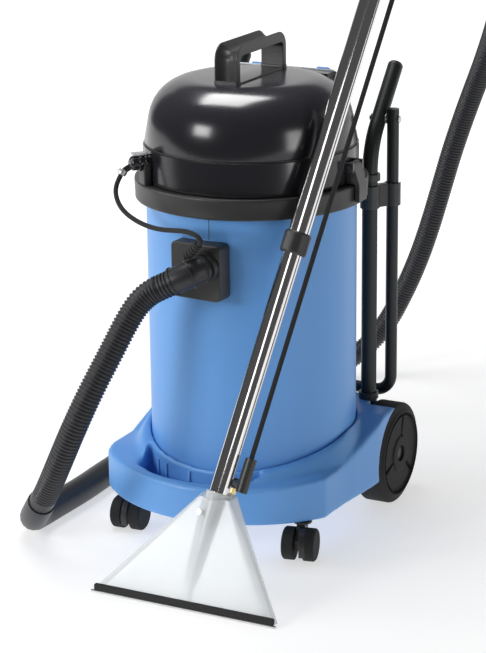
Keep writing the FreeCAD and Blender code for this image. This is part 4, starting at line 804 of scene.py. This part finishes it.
@dataclass
class Hoses:
    """The suction hose in its three stretches, its cuff at the port and the thin supply tube."""

    radius: float = 0.0215
    floor_radius: float = 0.024
    valley: float = 0.0193
    pitch: float = 0.0062
    supply_radius: float = 0.004
    cuff_radius: float = 0.024
    port_across: float = 0.034
    port_turn: float = -4.4
    port_face: float = 0.198
    port_height: float = 0.500
    plate_across: float = 0.0145
    plate_half: float = 0.047
    plate_drop: float = 0.010
    plate_corner: float = 0.009
    plate_span: Span = (-0.026, 0.004)
    plate_edge: float = 0.0022
    elbow_reach: float = 1.4
    elbow_shares: Span = (0.75, 0.55)
    tail_radii: float = 4.0
    neck: float = 0.0025
    steepness: float = 1.9
    sleeve: float = 0.026
    start_rims: Corners = ((0.0, 0.004, 0.0015), (0.004, 0.012, 0.0040), (0.016, 0.019, 0.0016))
    end_rims: Corners = ((0.058, 0.026, 0.0012), (0.058, 0.055, 0.0026), (0.029, 0.026, 0.0018))
    tail_direction: Point = (0.02, 0.955, 0.295)
    cuff_end: Point = (-0.042, -0.251, 0.470)
    fall: Corners = ((-0.084, -0.273, 0.426), (-0.105, -0.298, 0.370), (-0.130, -0.327, 0.306),
                     (-0.156, -0.345, 0.240), (-0.186, -0.346, 0.174), (-0.222, -0.328, 0.114))
    floor: Corners = ((-0.262, -0.302, 0.062), (-0.300, -0.256, 0.027), (-0.300, -0.185, 0.0255),
                      (-0.296, -0.095, 0.0255), (-0.300, 0.005, 0.0255), (-0.299, 0.125, 0.0255),
                      (-0.290, 0.255, 0.0255), (-0.272, 0.395, 0.0255), (-0.242, 0.530, 0.0255),
                      (-0.203, 0.650, 0.0255))
    rise: Corners = ((-0.168, 0.718, 0.033), (-0.128, 0.764, 0.062), (-0.088, 0.787, 0.116),
                     (-0.052, 0.793, 0.190), (-0.021, 0.792, 0.262), (0.004, 0.791, 0.336),
                     (0.026, 0.790, 0.412), (0.052, 0.786, 0.500), (0.088, 0.774, 0.595),
                     (0.132, 0.748, 0.692), (0.176, 0.704, 0.790), (0.210, 0.638, 0.884),
                     (0.231, 0.552, 0.966), (0.241, 0.460, 1.034), (0.240, 0.360, 1.083))
    wand_end: Point = (0.2324, 0.1907, 1.0638)
    supply: Corners = ((-0.158, -0.172, 0.623), (-0.160, -0.181, 0.606), (-0.151, -0.190, 0.589),
                       (-0.135, -0.198, 0.576), (-0.110, -0.208, 0.567), (-0.082, -0.218, 0.562),
                       (-0.053, -0.227, 0.561), (-0.022, -0.237, 0.565), (0.006, -0.246, 0.569),
                       (0.030, -0.252, 0.566), (0.037, -0.250, 0.556), (0.029, -0.245, 0.549))
    supply_start: Point = (-0.1532, -0.1655, 0.6345)

    def cuff_route(self) -> np.ndarray:
        """Give the cuff's three corners: the port's face, the elbow and the hose's start."""
        turn = Matrix.Rotation(math.radians(self.port_turn), 3, "Z")
        face = turn @ Vector((self.port_across, -self.port_face, 0.0))
        face.z = self.port_height
        elbow = face + turn @ Vector((0.0, -self.elbow_reach * self.cuff_radius, 0.0))
        return np.array([face, elbow, self.cuff_end])

    def routes(self) -> tuple[np.ndarray, np.ndarray, np.ndarray]:
        """Give the corners of the three stretches, which meet halfway along shared runs."""
        _, elbow, start = self.cuff_route()
        lead = start + (start - elbow) / np.linalg.norm(start - elbow) * self.cuff_radius
        fall, floor, rise = (np.array(part) for part in (self.fall, self.floor, self.rise))
        end = np.array(self.wand_end)
        tail = np.array(Vector(self.tail_direction).normalized()) * self.tail_radii * self.radius
        first = (fall[-1] + floor[0]) / 2.0
        second = (floor[-1] + rise[0]) / 2.0
        return (np.vstack([start, lead, fall, first]), np.vstack([first, floor, second]),
                np.vstack([second, rise, end + tail, end]))

    def ridges(self, wave: np.ndarray) -> np.ndarray:
        """Turn a wave from -1 to 1 into the radius of flat-topped ribs.

        The radius is the valley plus the rib's height times the wave, steepened and clipped.
        """
        crest = np.clip(0.5 * wave * self.steepness + 0.5, 0.0, 1.0)
        return self.valley + (self.radius - self.valley) * crest

    def ribbed(self, name: str, corners: np.ndarray) -> tuple[Piece, np.ndarray]:
        """Make a ribbed hose along a route.

        The wave at distance s is the negative cosine of s over the pitch. The far end is plain
        for the length of one radius.

        Args:
            name: the piece's name.
            corners: the route's corners.

        Returns:
            The piece and the points that it follows.
        """
        path = spline_path(corners)
        total = measured(path)[-1]
        ribs = round(total / self.pitch)
        distance = np.linspace(0.0, total, ribs * 8 + 1)
        radii = self.ridges(-np.cos(distance / total * ribs * 2.0 * math.pi))
        radii = np.where(total - distance < self.radius, self.radius, radii)
        stations = spaced(path, distance)
        return swept_round(name, stations, radii, 26, sharp=60.0), stations

    def plain(self, name: str, corners: np.ndarray, radius: float) -> Piece:
        """Make a plain round tube along a route."""
        tube = spline(name, corners)
        tube.data.bevel_depth = radius
        tube.data.bevel_resolution = 6
        tube.data.use_fill_caps = True
        return tube

    def build(self) -> None:
        """Make the cords first, then the cuff that holds them at the port."""
        front, floor, rear = self.routes()
        hose, path = self.ribbed("suction_hose_front", front)
        dressed(hose, Slot.HOSE, "chassis", "hose_front")
        low = self.plain("suction_hose_floor", floor, self.floor_radius)
        dressed(low, Slot.HOSE, "chassis", "hose_floor")
        tail, path = self.ribbed("suction_hose_rear", rear)
        wear(tail, Slot.HOSE)
        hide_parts("hose_rear")
        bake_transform(tail)
        supply = np.vstack([self.supply_start, self.supply])
        thin = self.plain("supply_line", supply, self.supply_radius)
        dressed(thin, Slot.RUBBER, "chassis", "supply_tube")
        self.cuff()

    def cuff(self) -> None:
        """Make the swivelling cuff: a collar at the port, an elbow, and a rimmed sleeve.

        The elbow's line is (1-t)(1-t) first + 2t(1-t) elbow + tt last. The radius is a sum of
        steps along it, each step a rim of its own width, and the hose's ribs at its end.
        """
        route = self.cuff_route()
        before, after = self.elbow_shares
        first = route[1] + (route[0] - route[1]) * before
        last = route[1] + (route[2] - route[1]) * after
        bend = np.linspace(0.0, 1.0, 17)[:, None]
        curve = (1 - bend) ** 2 * first + 2 * bend * (1 - bend) * route[1] + bend ** 2 * last
        path = np.vstack([route[0], curve, route[2]])
        total = measured(path)[-1]
        distance = np.linspace(0.0, total, 260)
        radii = np.full_like(distance, self.cuff_radius - self.neck)
        rims = [(total - start, total - end, rise) for start, end, rise in self.end_rims]
        for start, end, rise in (*self.start_rims, *rims):
            radii += rise * ((distance >= start) & (distance <= end))
        ribs = self.ridges(np.cos((total - distance) / self.pitch * 2.0 * math.pi))
        radii = np.where(distance > total - self.sleeve, ribs, radii)
        cuff = swept_round("port_cuff", spaced(path, distance), radii, 56, sharp=40.0)
        dressed(cuff, Slot.HOSE, "chassis", "inlet_cuff")
        turn = Matrix.Rotation(math.radians(self.port_turn), 4, "Z")
        lay = Matrix(((1, 0, 0, 0), (0, 0, -1, 0), (0, 1, 0, 0), (0, 0, 0, 1)))
        half, middle = self.plate_half, self.port_height - self.plate_drop
        outline = rounded_rectangle((self.plate_across - half, self.plate_across + half),
                                    (middle - half, middle + half), self.plate_corner)
        low, high = (self.port_face + reach for reach in self.plate_span)
        plate = prism("port_plate", outline, low, high, self.plate_edge, turn @ lay)
        dressed(plate, Slot.BLACK, "chassis", "inlet_plate")


# ---------------------------------------------------------------- tub

@dataclass
class Tub:
    """The blue drum, its black rim band and the drum's moulding line, a raised strip whose black
    colour is painted shade along the line.
    """

    wall: float = 0.004
    foot_rounding: float = 0.014
    band_rounding: float = 0.0035
    band_draft: float = 0.001
    around: int = 180
    seam_turn: float = 3.8
    seam_half: float = 0.0006
    seam_proud: float = 0.0004

    def build(self) -> None:
        """Make the drum as a closed shell and the band as a ring round its top."""
        low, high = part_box("drum")
        radius, wall = high.x, self.wall
        drum = revolved("tub_shell", (
            (0.0, low.z, 0.0), (radius - 0.0006, low.z, self.foot_rounding),
            (radius, high.z - 0.001, 0.0), (radius - 0.001, high.z, 0.0),
            (radius - wall, high.z, 0.0), (radius - wall, low.z + wall, self.foot_rounding - wall),
            (0.0, low.z + wall, 0.0)),
            around=self.around)
        dressed(drum, Slot.BLUE, "chassis", "drum")
        low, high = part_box("rim_band")
        round_edge, inner, outer = self.band_rounding, radius - wall - 0.003, high.x
        band = revolved("rim_ring", (
            (inner, low.z + 0.002, 0.0), (inner, low.z, 0.0), (outer - 0.0008, low.z, 0.0016),
            (outer - 0.0008, low.z + 0.005, 0.0), (outer - self.band_draft, low.z + 0.006, 0.0),
            (outer, high.z - 0.008, 0.0), (outer, high.z, round_edge),
            (outer - 0.0085, high.z, 0.0012), (outer - 0.0095, high.z - 0.0016, 0.0012),
            (inner, high.z - 0.0016, 0.0), (inner, low.z + 0.002, 0.0)),
            around=self.around, ends=Ends.OPEN)
        dressed(band, Slot.BLACK, "chassis", "rim_band")
        self.seam()

    def seam(self) -> None:
        """Raise the short moulding line between the band and the port plate: the ridge is real, and
        its black colour is painted shade along the line.

        A thin strip follows the drum's skin, and its section is a flat ellipse.
        """
        band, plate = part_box("rim_band")[0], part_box("inlet_plate")[1]
        out, side = bearing(self.seam_turn)
        angle = turns(12)[:, None]
        ring = self.seam_half * np.cos(angle) * side + self.seam_proud * np.sin(angle) * out
        heights = np.linspace(plate.z + 0.002, band.z + 0.001, 6)
        seam = stacked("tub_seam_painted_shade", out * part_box("drum")[1].x, ring, heights, np.ones(6))
        # the black on this ridge is painted shade along the moulding line, not the drum's own colour
        dressed(seam, Slot.BLACK, "chassis")


# ---------------------------------------------------------------- head

@dataclass
class Head:
    """The glossy dome and the arch by which the head is carried."""

    crown_radius: float = 0.160
    rounding: float = 0.075
    wall: float = 0.003
    side: float = 0.0115
    deep: float = 0.0185
    corner: float = 0.026
    channel: float = 0.60
    rim: float = 0.0028
    bends: Span = (0.012, 0.009)
    plate_rise: float = 0.0026
    foot_rise: float = 0.0055
    foot_spread: float = 0.0016

    def build(self) -> None:
        """Make the dome and the handle."""
        low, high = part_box("head_dome")
        foot, wall = high.x, self.wall
        dome = revolved("motor_dome", (
            (0.0, high.z, 0.0), (self.crown_radius, high.z, self.rounding),
            (foot, low.z + 0.002, 0.0), (foot - 0.001, low.z, 0.0), (foot - wall, low.z, 0.0),
            (self.crown_radius - wall, high.z - wall, self.rounding - wall),
            (0.0, high.z - wall, 0.0)), around=200, sharp=50.0)
        dressed(dome, Slot.DOME, "head", "head_dome")
        self.handle()

    def section(self, half: float) -> np.ndarray:
        """Give the arch's outline: a dished channel that opens outwards.

        The channel's depth at share s of its half width is channel * (1 - s * s).

        Args:
            half: half the arch's width.

        Returns:
            Points of across and depth, with the depth as a share of the arch's thickness.
        """
        across = np.linspace(-1.0, 1.0, 23)
        hollow = self.channel * (1.0 - across ** 2)
        inside = (half - self.rim) * across
        face = np.stack([inside, hollow], axis=1)
        return np.vstack([[[-half, 1.0], [-half, 0.0]], face, [[half, 0.0], [half, 1.0]]])

    def handle(self) -> None:
        """Carry the channel round the arch, and lay its plate and its two feet on the crown.

        A section point at depth d lies at outer + (inner - outer) * d, where the outer line is
        a rounded arch and the inner line is a lower and tighter one.
        """
        low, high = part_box("head_handle")
        side, deep = self.side, self.deep
        outer = rounded(((low.y, low.z, 0.0), (low.y, high.z, self.corner),
                         (high.y, high.z, self.corner), (high.y, low.z, 0.0)), 14)
        inner = rounded(((low.y + side, low.z, 0.0), (low.y + side, high.z - deep, self.bends[0]),
                         (high.y - side, high.z - deep, self.bends[1]),
                         (high.y - side, low.z, 0.0)), 14)
        half = (high.x - low.x) / 2.0
        section = self.section(half)
        points = np.empty((len(outer), len(section), 3))
        points[:, :, 0] = section[None, :, 0]
        points[:, :, 1:] = (outer[:, None, :] + (inner - outer)[:, None, :] * section[None, :, 1:])
        strap = surface("carry_strap", points, sharp=38.0)
        softened(strap, 0.0012, 3, 40.0)
        dressed(strap, Slot.BLACK, "head", "head_handle")
        plate = prism("strap_plate", rounded_rectangle((-half, half), (low.y, high.y), 0.004),
                      low.z, low.z + self.plate_rise, 0.001)
        dressed(plate, Slot.DOME, "head")
        for number, place in enumerate((low.y + side / 2, high.y - side / 2)):
            reach, wide = side / 2 + self.foot_spread, half + self.foot_spread / 2
            outline = rounded_rectangle((-wide, wide), (place - reach, place + reach), 0.003)
            foot = prism(f"strap_foot_{number}", outline, low.z, low.z + self.foot_rise, 0.0012)
            dressed(foot, Slot.BLACK, "head")


# ---------------------------------------------------------------- wheels

@dataclass
class RearWheels:
    """The two rear wheels: a broad tyre and a face with three grooves and a sunk hub."""

    hub_hole: float = 0.0145
    hub_ring: float = 0.030
    face_ring: float = 0.068
    shoulder: float = 0.009
    groove: float = 0.0052
    depth: float = 0.0075
    spokes: int = 3
    first_spoke: float = 78.0
    sink: float = 0.003
    slope: float = 0.003
    rounding: float = 0.004

    def build(self) -> None:
        """Make both wheels, the right one a mirror image of the left."""
        for side, body in ((1.0, "wheel_left"), (-1.0, "wheel_right")):
            self.wheel(side, body)

    def face(self, radius: np.ndarray, angle: np.ndarray, edge: float) -> np.ndarray:
        """Give how far the outer face lies below the wheel's side.

        A hub ring and a rim stand proud, the field between them is sunk, three radial grooves
        that widen outwards cross it, and a narrow ring groove runs just past the field.

        Args:
            radius: distances from the axle.
            angle: turns about the axle.
            edge: the radius at which the face gives way to the tread.

        Returns:
            The depth at each radius and angle.
        """
        def step(value: np.ndarray, start: float, end: float) -> np.ndarray:
            share = np.clip((value - start) / (end - start), 0.0, 1.0)
            return share * share * (3.0 - 2.0 * share)

        field = step(radius, self.hub_ring, self.hub_ring + self.slope)
        field = field * step(-radius, -self.face_ring, -self.face_ring + self.slope)
        sunk = self.sink * field + np.zeros_like(angle)
        pitch = 2.0 * math.pi / self.spokes
        near = (angle - math.radians(self.first_spoke) + pitch / 2.0) % pitch - pitch / 2.0
        across = np.abs(near) * radius
        wide = self.groove * (0.45 + 0.75 * (radius / self.face_ring) ** 2)
        sunk += self.depth * field * (1.0 - step(across, wide * 0.5, wide * 0.5 + 0.0012))
        ring = np.abs(radius - self.face_ring - 0.0025)
        sunk += self.depth * (1.0 - step(ring, 0.0015, 0.0029))
        return sunk + self.rounding * step(radius, edge - 0.006, edge)

    def wheel(self, side: float, body: str) -> None:
        """Make one wheel on its own axle line.

        Args:
            side: 1 for the wheel at +X and -1 for the one at -X.
            body: the body that it rides on, which is also its node.
        """
        low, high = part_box(body)
        middle, outer = (low + high) / 2.0, (high.z - low.z) / 2.0
        width = high.x - low.x
        edge = outer - self.shoulder
        angle = turns(288)
        stops = (self.hub_hole, self.hub_ring, self.hub_ring + self.slope,
                 self.face_ring - self.slope, self.face_ring + 0.006, edge)
        radii = np.concatenate([[stops[0]]] + [
            np.linspace(start, end, count)[1:]
            for start, end, count in zip(stops, stops[1:], (7, 5, 9, 15, 7))])
        face = np.stack([np.broadcast_to(radii[:, None], (len(radii), len(angle))),
                         width - self.face(radii[:, None], angle[None, :], edge)], axis=-1)
        soft = self.rounding
        tyre = rounded(((edge, width - soft, 0.0), (outer, width - 0.007, 0.006),
                        (outer, soft, soft), (outer - soft, 0.0, 0.0), (0.012, 0.0, 0.0)), 6)[1:]
        well = np.array([[0.009, width - 0.012], [self.hub_hole, width - 0.012]])
        rows = np.concatenate([np.repeat(well[:, None], len(angle), 1), face,
                               np.repeat(tyre[:, None], len(angle), 1)])
        points = np.stack([side * (rows[..., 1] - width / 2.0) + middle.x,
                           middle.y + rows[..., 0] * np.cos(angle),
                           middle.z + rows[..., 0] * np.sin(angle)], axis=-1)
        wheel = surface(body + "_tyre", points, Ends.JOINED, 50.0)
        dressed(wheel, Slot.RUBBER, body, body)


# ---------------------------------------------------------------- floor tool

@dataclass
class FloorTool:
    """The translucent fishtail with its cone, the socket at its neck and its bright lip."""

    neck_across: float = 0.0216
    neck_half: float = 0.030
    mouth_half: float = 0.1645
    rise: float = 0.165
    back: float = 0.091
    mouth_low: float = 0.004
    front_wall: float = 0.0050
    mouth_depth: float = 0.015
    wall: float = 0.0025
    cone_top: float = 0.0215
    cone_start: float = 0.03
    lip_height: float = 0.0038
    strip_top: float = 0.0138
    tube: float = 0.0162
    socket_wall: float = 0.0042
    socket_deep: float = 0.052
    flare: float = 0.006

    def mouth(self) -> Span:
        """Give the middle of the lip across the machine, and its front edge."""
        low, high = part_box("tool_lip")
        return (low.x + high.x) / 2.0, low.y

    def loop(self, share: np.ndarray, inset: float) -> np.ndarray:
        """Give the fishtail's outline at each share of its height.

        Half the width falls in a line from the mouth to the neck. Half the thickness is the
        larger of a flat wall's and a cone's, whose radius grows with the height and whose
        section is a half circle about the middle line.

        Args:
            share: heights from the mouth, 0, to the neck, 1.
            inset: how far inside the outer skin the outline lies.

        Returns:
            Rows of points round the outline.
        """
        middle, start = self.mouth()
        spread = np.sin(np.linspace(-math.pi / 2.0, math.pi / 2.0, 61))
        half = (self.mouth_half + (self.neck_half - self.mouth_half) * share - inset)[:, None]
        flat = (self.mouth_depth / 2.0 + self.flare * share - inset)[:, None]
        edge = np.sqrt(np.clip(1.0 - np.abs(spread) ** 24, 0.0, 1.0))[None, :]
        across = spread[None, :] * half
        cone = np.clip((share - self.cone_start) / (1.0 - self.cone_start), 0.0, 1.0)[:, None]
        cone = self.flare * (cone > 0.0) + cone * (self.cone_top - self.flare) - inset
        round_part = np.sqrt(np.clip(cone ** 2 - across ** 2, 0.0, None)) * (cone > 0.0)
        thick = (np.maximum(flat, 0.0) ** 4 * edge ** 4 + round_part ** 4) ** 0.25
        middle_x = middle + self.neck_across * share[:, None]
        half_mouth = self.front_wall + self.mouth_depth / 2.0
        middle_y = start + half_mouth + (self.back - half_mouth) * share[:, None]
        height = np.broadcast_to(self.mouth_low + (self.rise - self.mouth_low) * share[:, None],
                                 across.shape)
        fore = np.stack([middle_x + across, middle_y - thick, height], axis=-1)
        rear = np.stack([middle_x + across, middle_y + thick, height], axis=-1)[:, ::-1]
        return np.concatenate([fore, rear[:, 1:-1]], axis=1)

    def build(self) -> None:
        """Make the shell from its outer and inner skins, then the socket and the lip."""
        share = np.linspace(0.0, 1.0, 48)
        skins = np.concatenate([self.loop(share, 0.0), self.loop(share[::-1], self.wall)])
        shell = surface("fishtail_shell", skins, Ends.JOINED, 50.0)
        dressed(shell, Slot.CLEAR, "wand", "tool_body")
        self.socket()
        self.lip()

    def lip(self) -> None:
        """Lay the thin bright lip on the floor and the dark strip above it."""
        low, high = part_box("tool_lip")
        bright = prism("fishtail_lip", rounded_rectangle((low.x, high.x), (low.y, high.y), 0.002),
                       0.0, self.lip_height, 0.001)
        dressed(bright, Slot.ALUMINIUM, "wand", "tool_lip")
        outline = rounded_rectangle((low.x + 0.006, high.x - 0.005),
                                    (low.y + 0.0008, high.y + 0.004), 0.0015)
        dark = prism("fishtail_strip", outline, self.lip_height, self.strip_top, 0.0012)
        dressed(dark, Slot.RUBBER, "wand", "tool_squeegee")

    def socket(self) -> None:
        """Make the round socket that the wand's foot stands in, along the wand's line."""
        middle, start = self.mouth()
        neck = Vector((middle + self.neck_across, start + self.back, self.rise))
        frame = standing(Vector(WAND_LINE).normalized(), neck)
        inner, outer, deep, rim = self.tube, self.tube + self.socket_wall, self.socket_deep, 0.0055
        socket = revolved("fishtail_socket", (
            (inner, -deep, 0.0), (outer - 0.003, -deep, 0.001), (outer - 0.002, -0.020, 0.010),
            (outer - 0.001, 0.002, 0.001), (outer, 0.0025, 0.0004), (outer, rim, 0.0008),
            (inner, rim, 0.0), (inner, -deep, 0.0)), frame, 72, Ends.OPEN)
        dressed(socket, Slot.CLEAR, "wand")


# ---------------------------------------------------------------- trim and the rest

@dataclass
class Trim:
    """The quick coupling, the ring on the supply line, the castors' hoods and the pocket's ribs."""

    ring_radius: float = 0.0072
    ring_bore: float = 0.0042
    coupling_turn: float = -41.0
    coupling_rise: float = 0.648
    barrel_foot: float = 0.182
    outlet_foot: float = 0.205
    outlet_radius: float = 0.0052
    barrel: Corners = (
        (0.0, 0.0, 0.0), (0.0130, 0.0, 0.0), (0.0130, 0.006, 0.0006), (0.0146, 0.0065, 0.0006),
        (0.0146, 0.0105, 0.0008), (0.0118, 0.011, 0.0006), (0.0118, 0.0145, 0.0006),
        (0.0142, 0.015, 0.0008), (0.0142, 0.020, 0.0010), (0.0122, 0.0205, 0.0006),
        (0.0122, 0.030, 0.004), (0.0070, 0.034, 0.002), (0.0, 0.034, 0.0))
    block: tuple[Span, Span] = ((-0.014, 0.014), (-0.1955, -0.1818))
    castors: tuple[tuple[str, Point, float], ...] = (
        ("castor_left", (0.1686, -0.1586, 0.028), 23.0),
        ("castor_right", (-0.1605, -0.1599, 0.028), 5.0))
    hood_radius: float = 0.0282
    hood_sweep: Span = (112.0, -32.0)
    hood_section: tuple[Span, Span] = ((-0.0055, 0.0055), (-0.0016, 0.0016))
    rib_gap: float = 0.0085
    rib_foot: float = 0.079
    rib_top: float = 0.134
    rib_turns: tuple[float, ...] = (-34.0, -26.0, -9.0)
    rib_half: Span = (0.0022, 0.0026)
    rib_square: float = 0.4

    def build(self) -> None:
        """Make the ring and the coupling, then the ribs and the hoods."""
        self.ring()
        self.coupling()
        self.pocket_ribs()
        for body, axle, turn in self.castors:
            self.hood(body, axle, turn)

    def coupling(self) -> None:
        """Make the quick coupling: a ringed barrel on a block, and its short outlet."""
        out, rise = Vector(bearing(self.coupling_turn)[0]), Vector((0.0, 0.0, self.coupling_rise))
        foot = standing(out, out * self.barrel_foot + rise)
        barrel = revolved("coupling_barrel", self.barrel, foot, 72)
        dressed(barrel, Slot.DOME, "chassis", "supply_coupling")
        turn = Matrix.Rotation(math.radians(self.coupling_turn), 4, "Z")
        outline = rounded_rectangle(*self.block, 0.003)
        block = prism("coupling_block", outline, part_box("rim_band")[1].z, rise.z, 0.002, turn)
        dressed(block, Slot.BLACK, "chassis")
        start = np.array(out * self.outlet_foot + rise)
        line = np.linspace(start, np.array(Hoses.supply_start), 12)
        outlet = swept_round("coupling_outlet", line, np.full(12, self.outlet_radius), 32)
        dressed(outlet, Slot.DOME, "chassis")

    def hood(self, body: str, axle: Point, turn: float) -> None:
        """Curve a strip of the castor's hood down between its wheels.

        Point a of the strip's line is axle + radius (cos a * ahead + sin a * up).

        Args:
            body: the castor's body.
            axle: the middle of its axle.
            turn: its heading in degrees from the front.
        """
        ahead, side = bearing(turn)
        angle = np.radians(np.linspace(*self.hood_sweep, 25))[:, None]
        radial = np.cos(angle) * ahead + np.sin(angle) * np.array((0.0, 0.0, 1.0))
        outline = rounded_rectangle(*self.hood_section, 0.0012)
        points = (np.array(axle) + self.hood_radius * radial)[:, None, :] \
            + outline[None, :, :1] * side + outline[None, :, 1:] * radial[:, None, :]
        dressed(surface(body + "_hood", points, sharp=60.0), Slot.BLACK, body)

    def ring(self) -> None:
        """Make the bright ring where the supply line leaves its coupling."""
        start, after = Vector(Hoses.supply_start), Vector(Hoses.supply[0])
        radius, bore = self.ring_radius, self.ring_bore
        ring = revolved("supply_ring", (
            (bore, -0.003, 0.0), (radius, -0.003, 0.001), (radius + 0.0006, 0.002, 0.001),
            (radius, 0.006, 0.0015), (bore, 0.007, 0.0), (bore, -0.003, 0.0)),
            standing((after - start).normalized(), start), 48, Ends.OPEN)
        dressed(ring, Slot.ZINC, "chassis")

    def pocket_ribs(self) -> None:
        """Stand three thin ribs against the inner wall of the base's front pocket.

        A rib's section is a squared circle: cosine and sine, each to a low power.
        """
        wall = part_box("drum")[1].x + self.rib_gap
        heights = np.array([self.rib_foot, self.rib_top - 0.002, self.rib_top])
        sizes = np.array([1.0, 1.0, 0.6])
        wide, deep = (np.sign(wave) * np.abs(wave) ** self.rib_square
                      for wave in (np.cos(turns(20)), np.sin(turns(20))))
        for number, degrees in enumerate(self.rib_turns):
            out, side = bearing(degrees)
            ring = self.rib_half[0] * wide[:, None] * side + self.rib_half[1] * deep[:, None] * out
            rib = stacked(f"pocket_rib_{number}", out * wall, ring, heights, sizes)
            dressed(rib, Slot.BLUE, "chassis")


@dataclass
class Switches:
    """The two rocker caps, which stand up from the sloping panel."""

    half_width: float = 0.0115
    half_length: float = 0.0170
    sunk: float = 0.004
    proud: float = 0.0085
    slope: float = 25.0

    def build(self) -> None:
        """Make each cap at the middle of its own node, square to the panel."""
        slope = math.radians(self.slope)
        up = Vector((0.0, math.sin(slope), math.cos(slope)))
        outline = rounded_rectangle((-self.half_width, self.half_width),
                                    (-self.half_length, self.half_length), 0.002)
        for name in ("rocker_vac", "rocker_pump"):
            low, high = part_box(name)
            cap = prism(name + "_cap", outline, -self.sunk, self.proud, 0.0025,
                        standing(up, (low + high) / 2.0))
            dressed(cap, Slot.ROCKER, name, name)


@dataclass
class CarriedNodes:
    """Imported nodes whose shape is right: copies with soft edges, and the base as one soft skin."""

    usual_edge: float = 0.0006
    base_voxel: float = 0.0028
    base_rounds: int = 22
    edges: tuple[tuple[float, tuple[str, ...]], ...] = (
        (0.0040, ("control_box",)), (0.0015, ("latch_left", "latch_right", "trigger_valve")),
        (0.0012, ("castor_fork_left", "castor_fork_right", "handle_clips", "spray_valve")),
        (0.0010, ("head_skirt", "castor_wheels_left", "castor_wheels_right")),
        (0.0008, ("control_panel",)), (0.0004, ("tube_boot",)),
        (0.0, ("push_handle", "post_left", "post_right", "wand_upper", "wand_lower", "float_ball")))

    def build(self, frame: dict) -> None:
        """Dress every node that no other piece stands for.
        """
        slots = {part["node"]: part["material_slot"] for part in frame["record"]["subparts"]}
        finishes = {slot.value.name: slot for slot in Slot}
        edges = {name: edge for edge, names in self.edges for name in names}
        for body, nodes in frame["record"]["behaviour"]["bodies"].items():
            for name in nodes:
                node = frame["nodes"][name]
                if node.hide_render:
                    continue
                if name == "base":
                    copy = melted(node, self.base_voxel, self.base_rounds)
                else:
                    copy = refined(node, edges.get(name, self.usual_edge))
                dressed(copy, finishes[slots[name]], body, name)


def main() -> None:
    """Build the studio, the cords and each sub-assembly."""
    logging.basicConfig(level=logging.INFO, format="%(message)s")
    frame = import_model()
    studio = Studio()
    studio.build()
    for part in (Hoses(), Tub(), Head(), RearWheels(), FloorTool(), Trim(), Switches()):
        part.build()
        LOG.info("%s done", type(part).__name__)
    CarriedNodes().build(frame)
    studio.lights()
    bpy.context.view_layer.update()


if __name__ == "__main__":
    main()
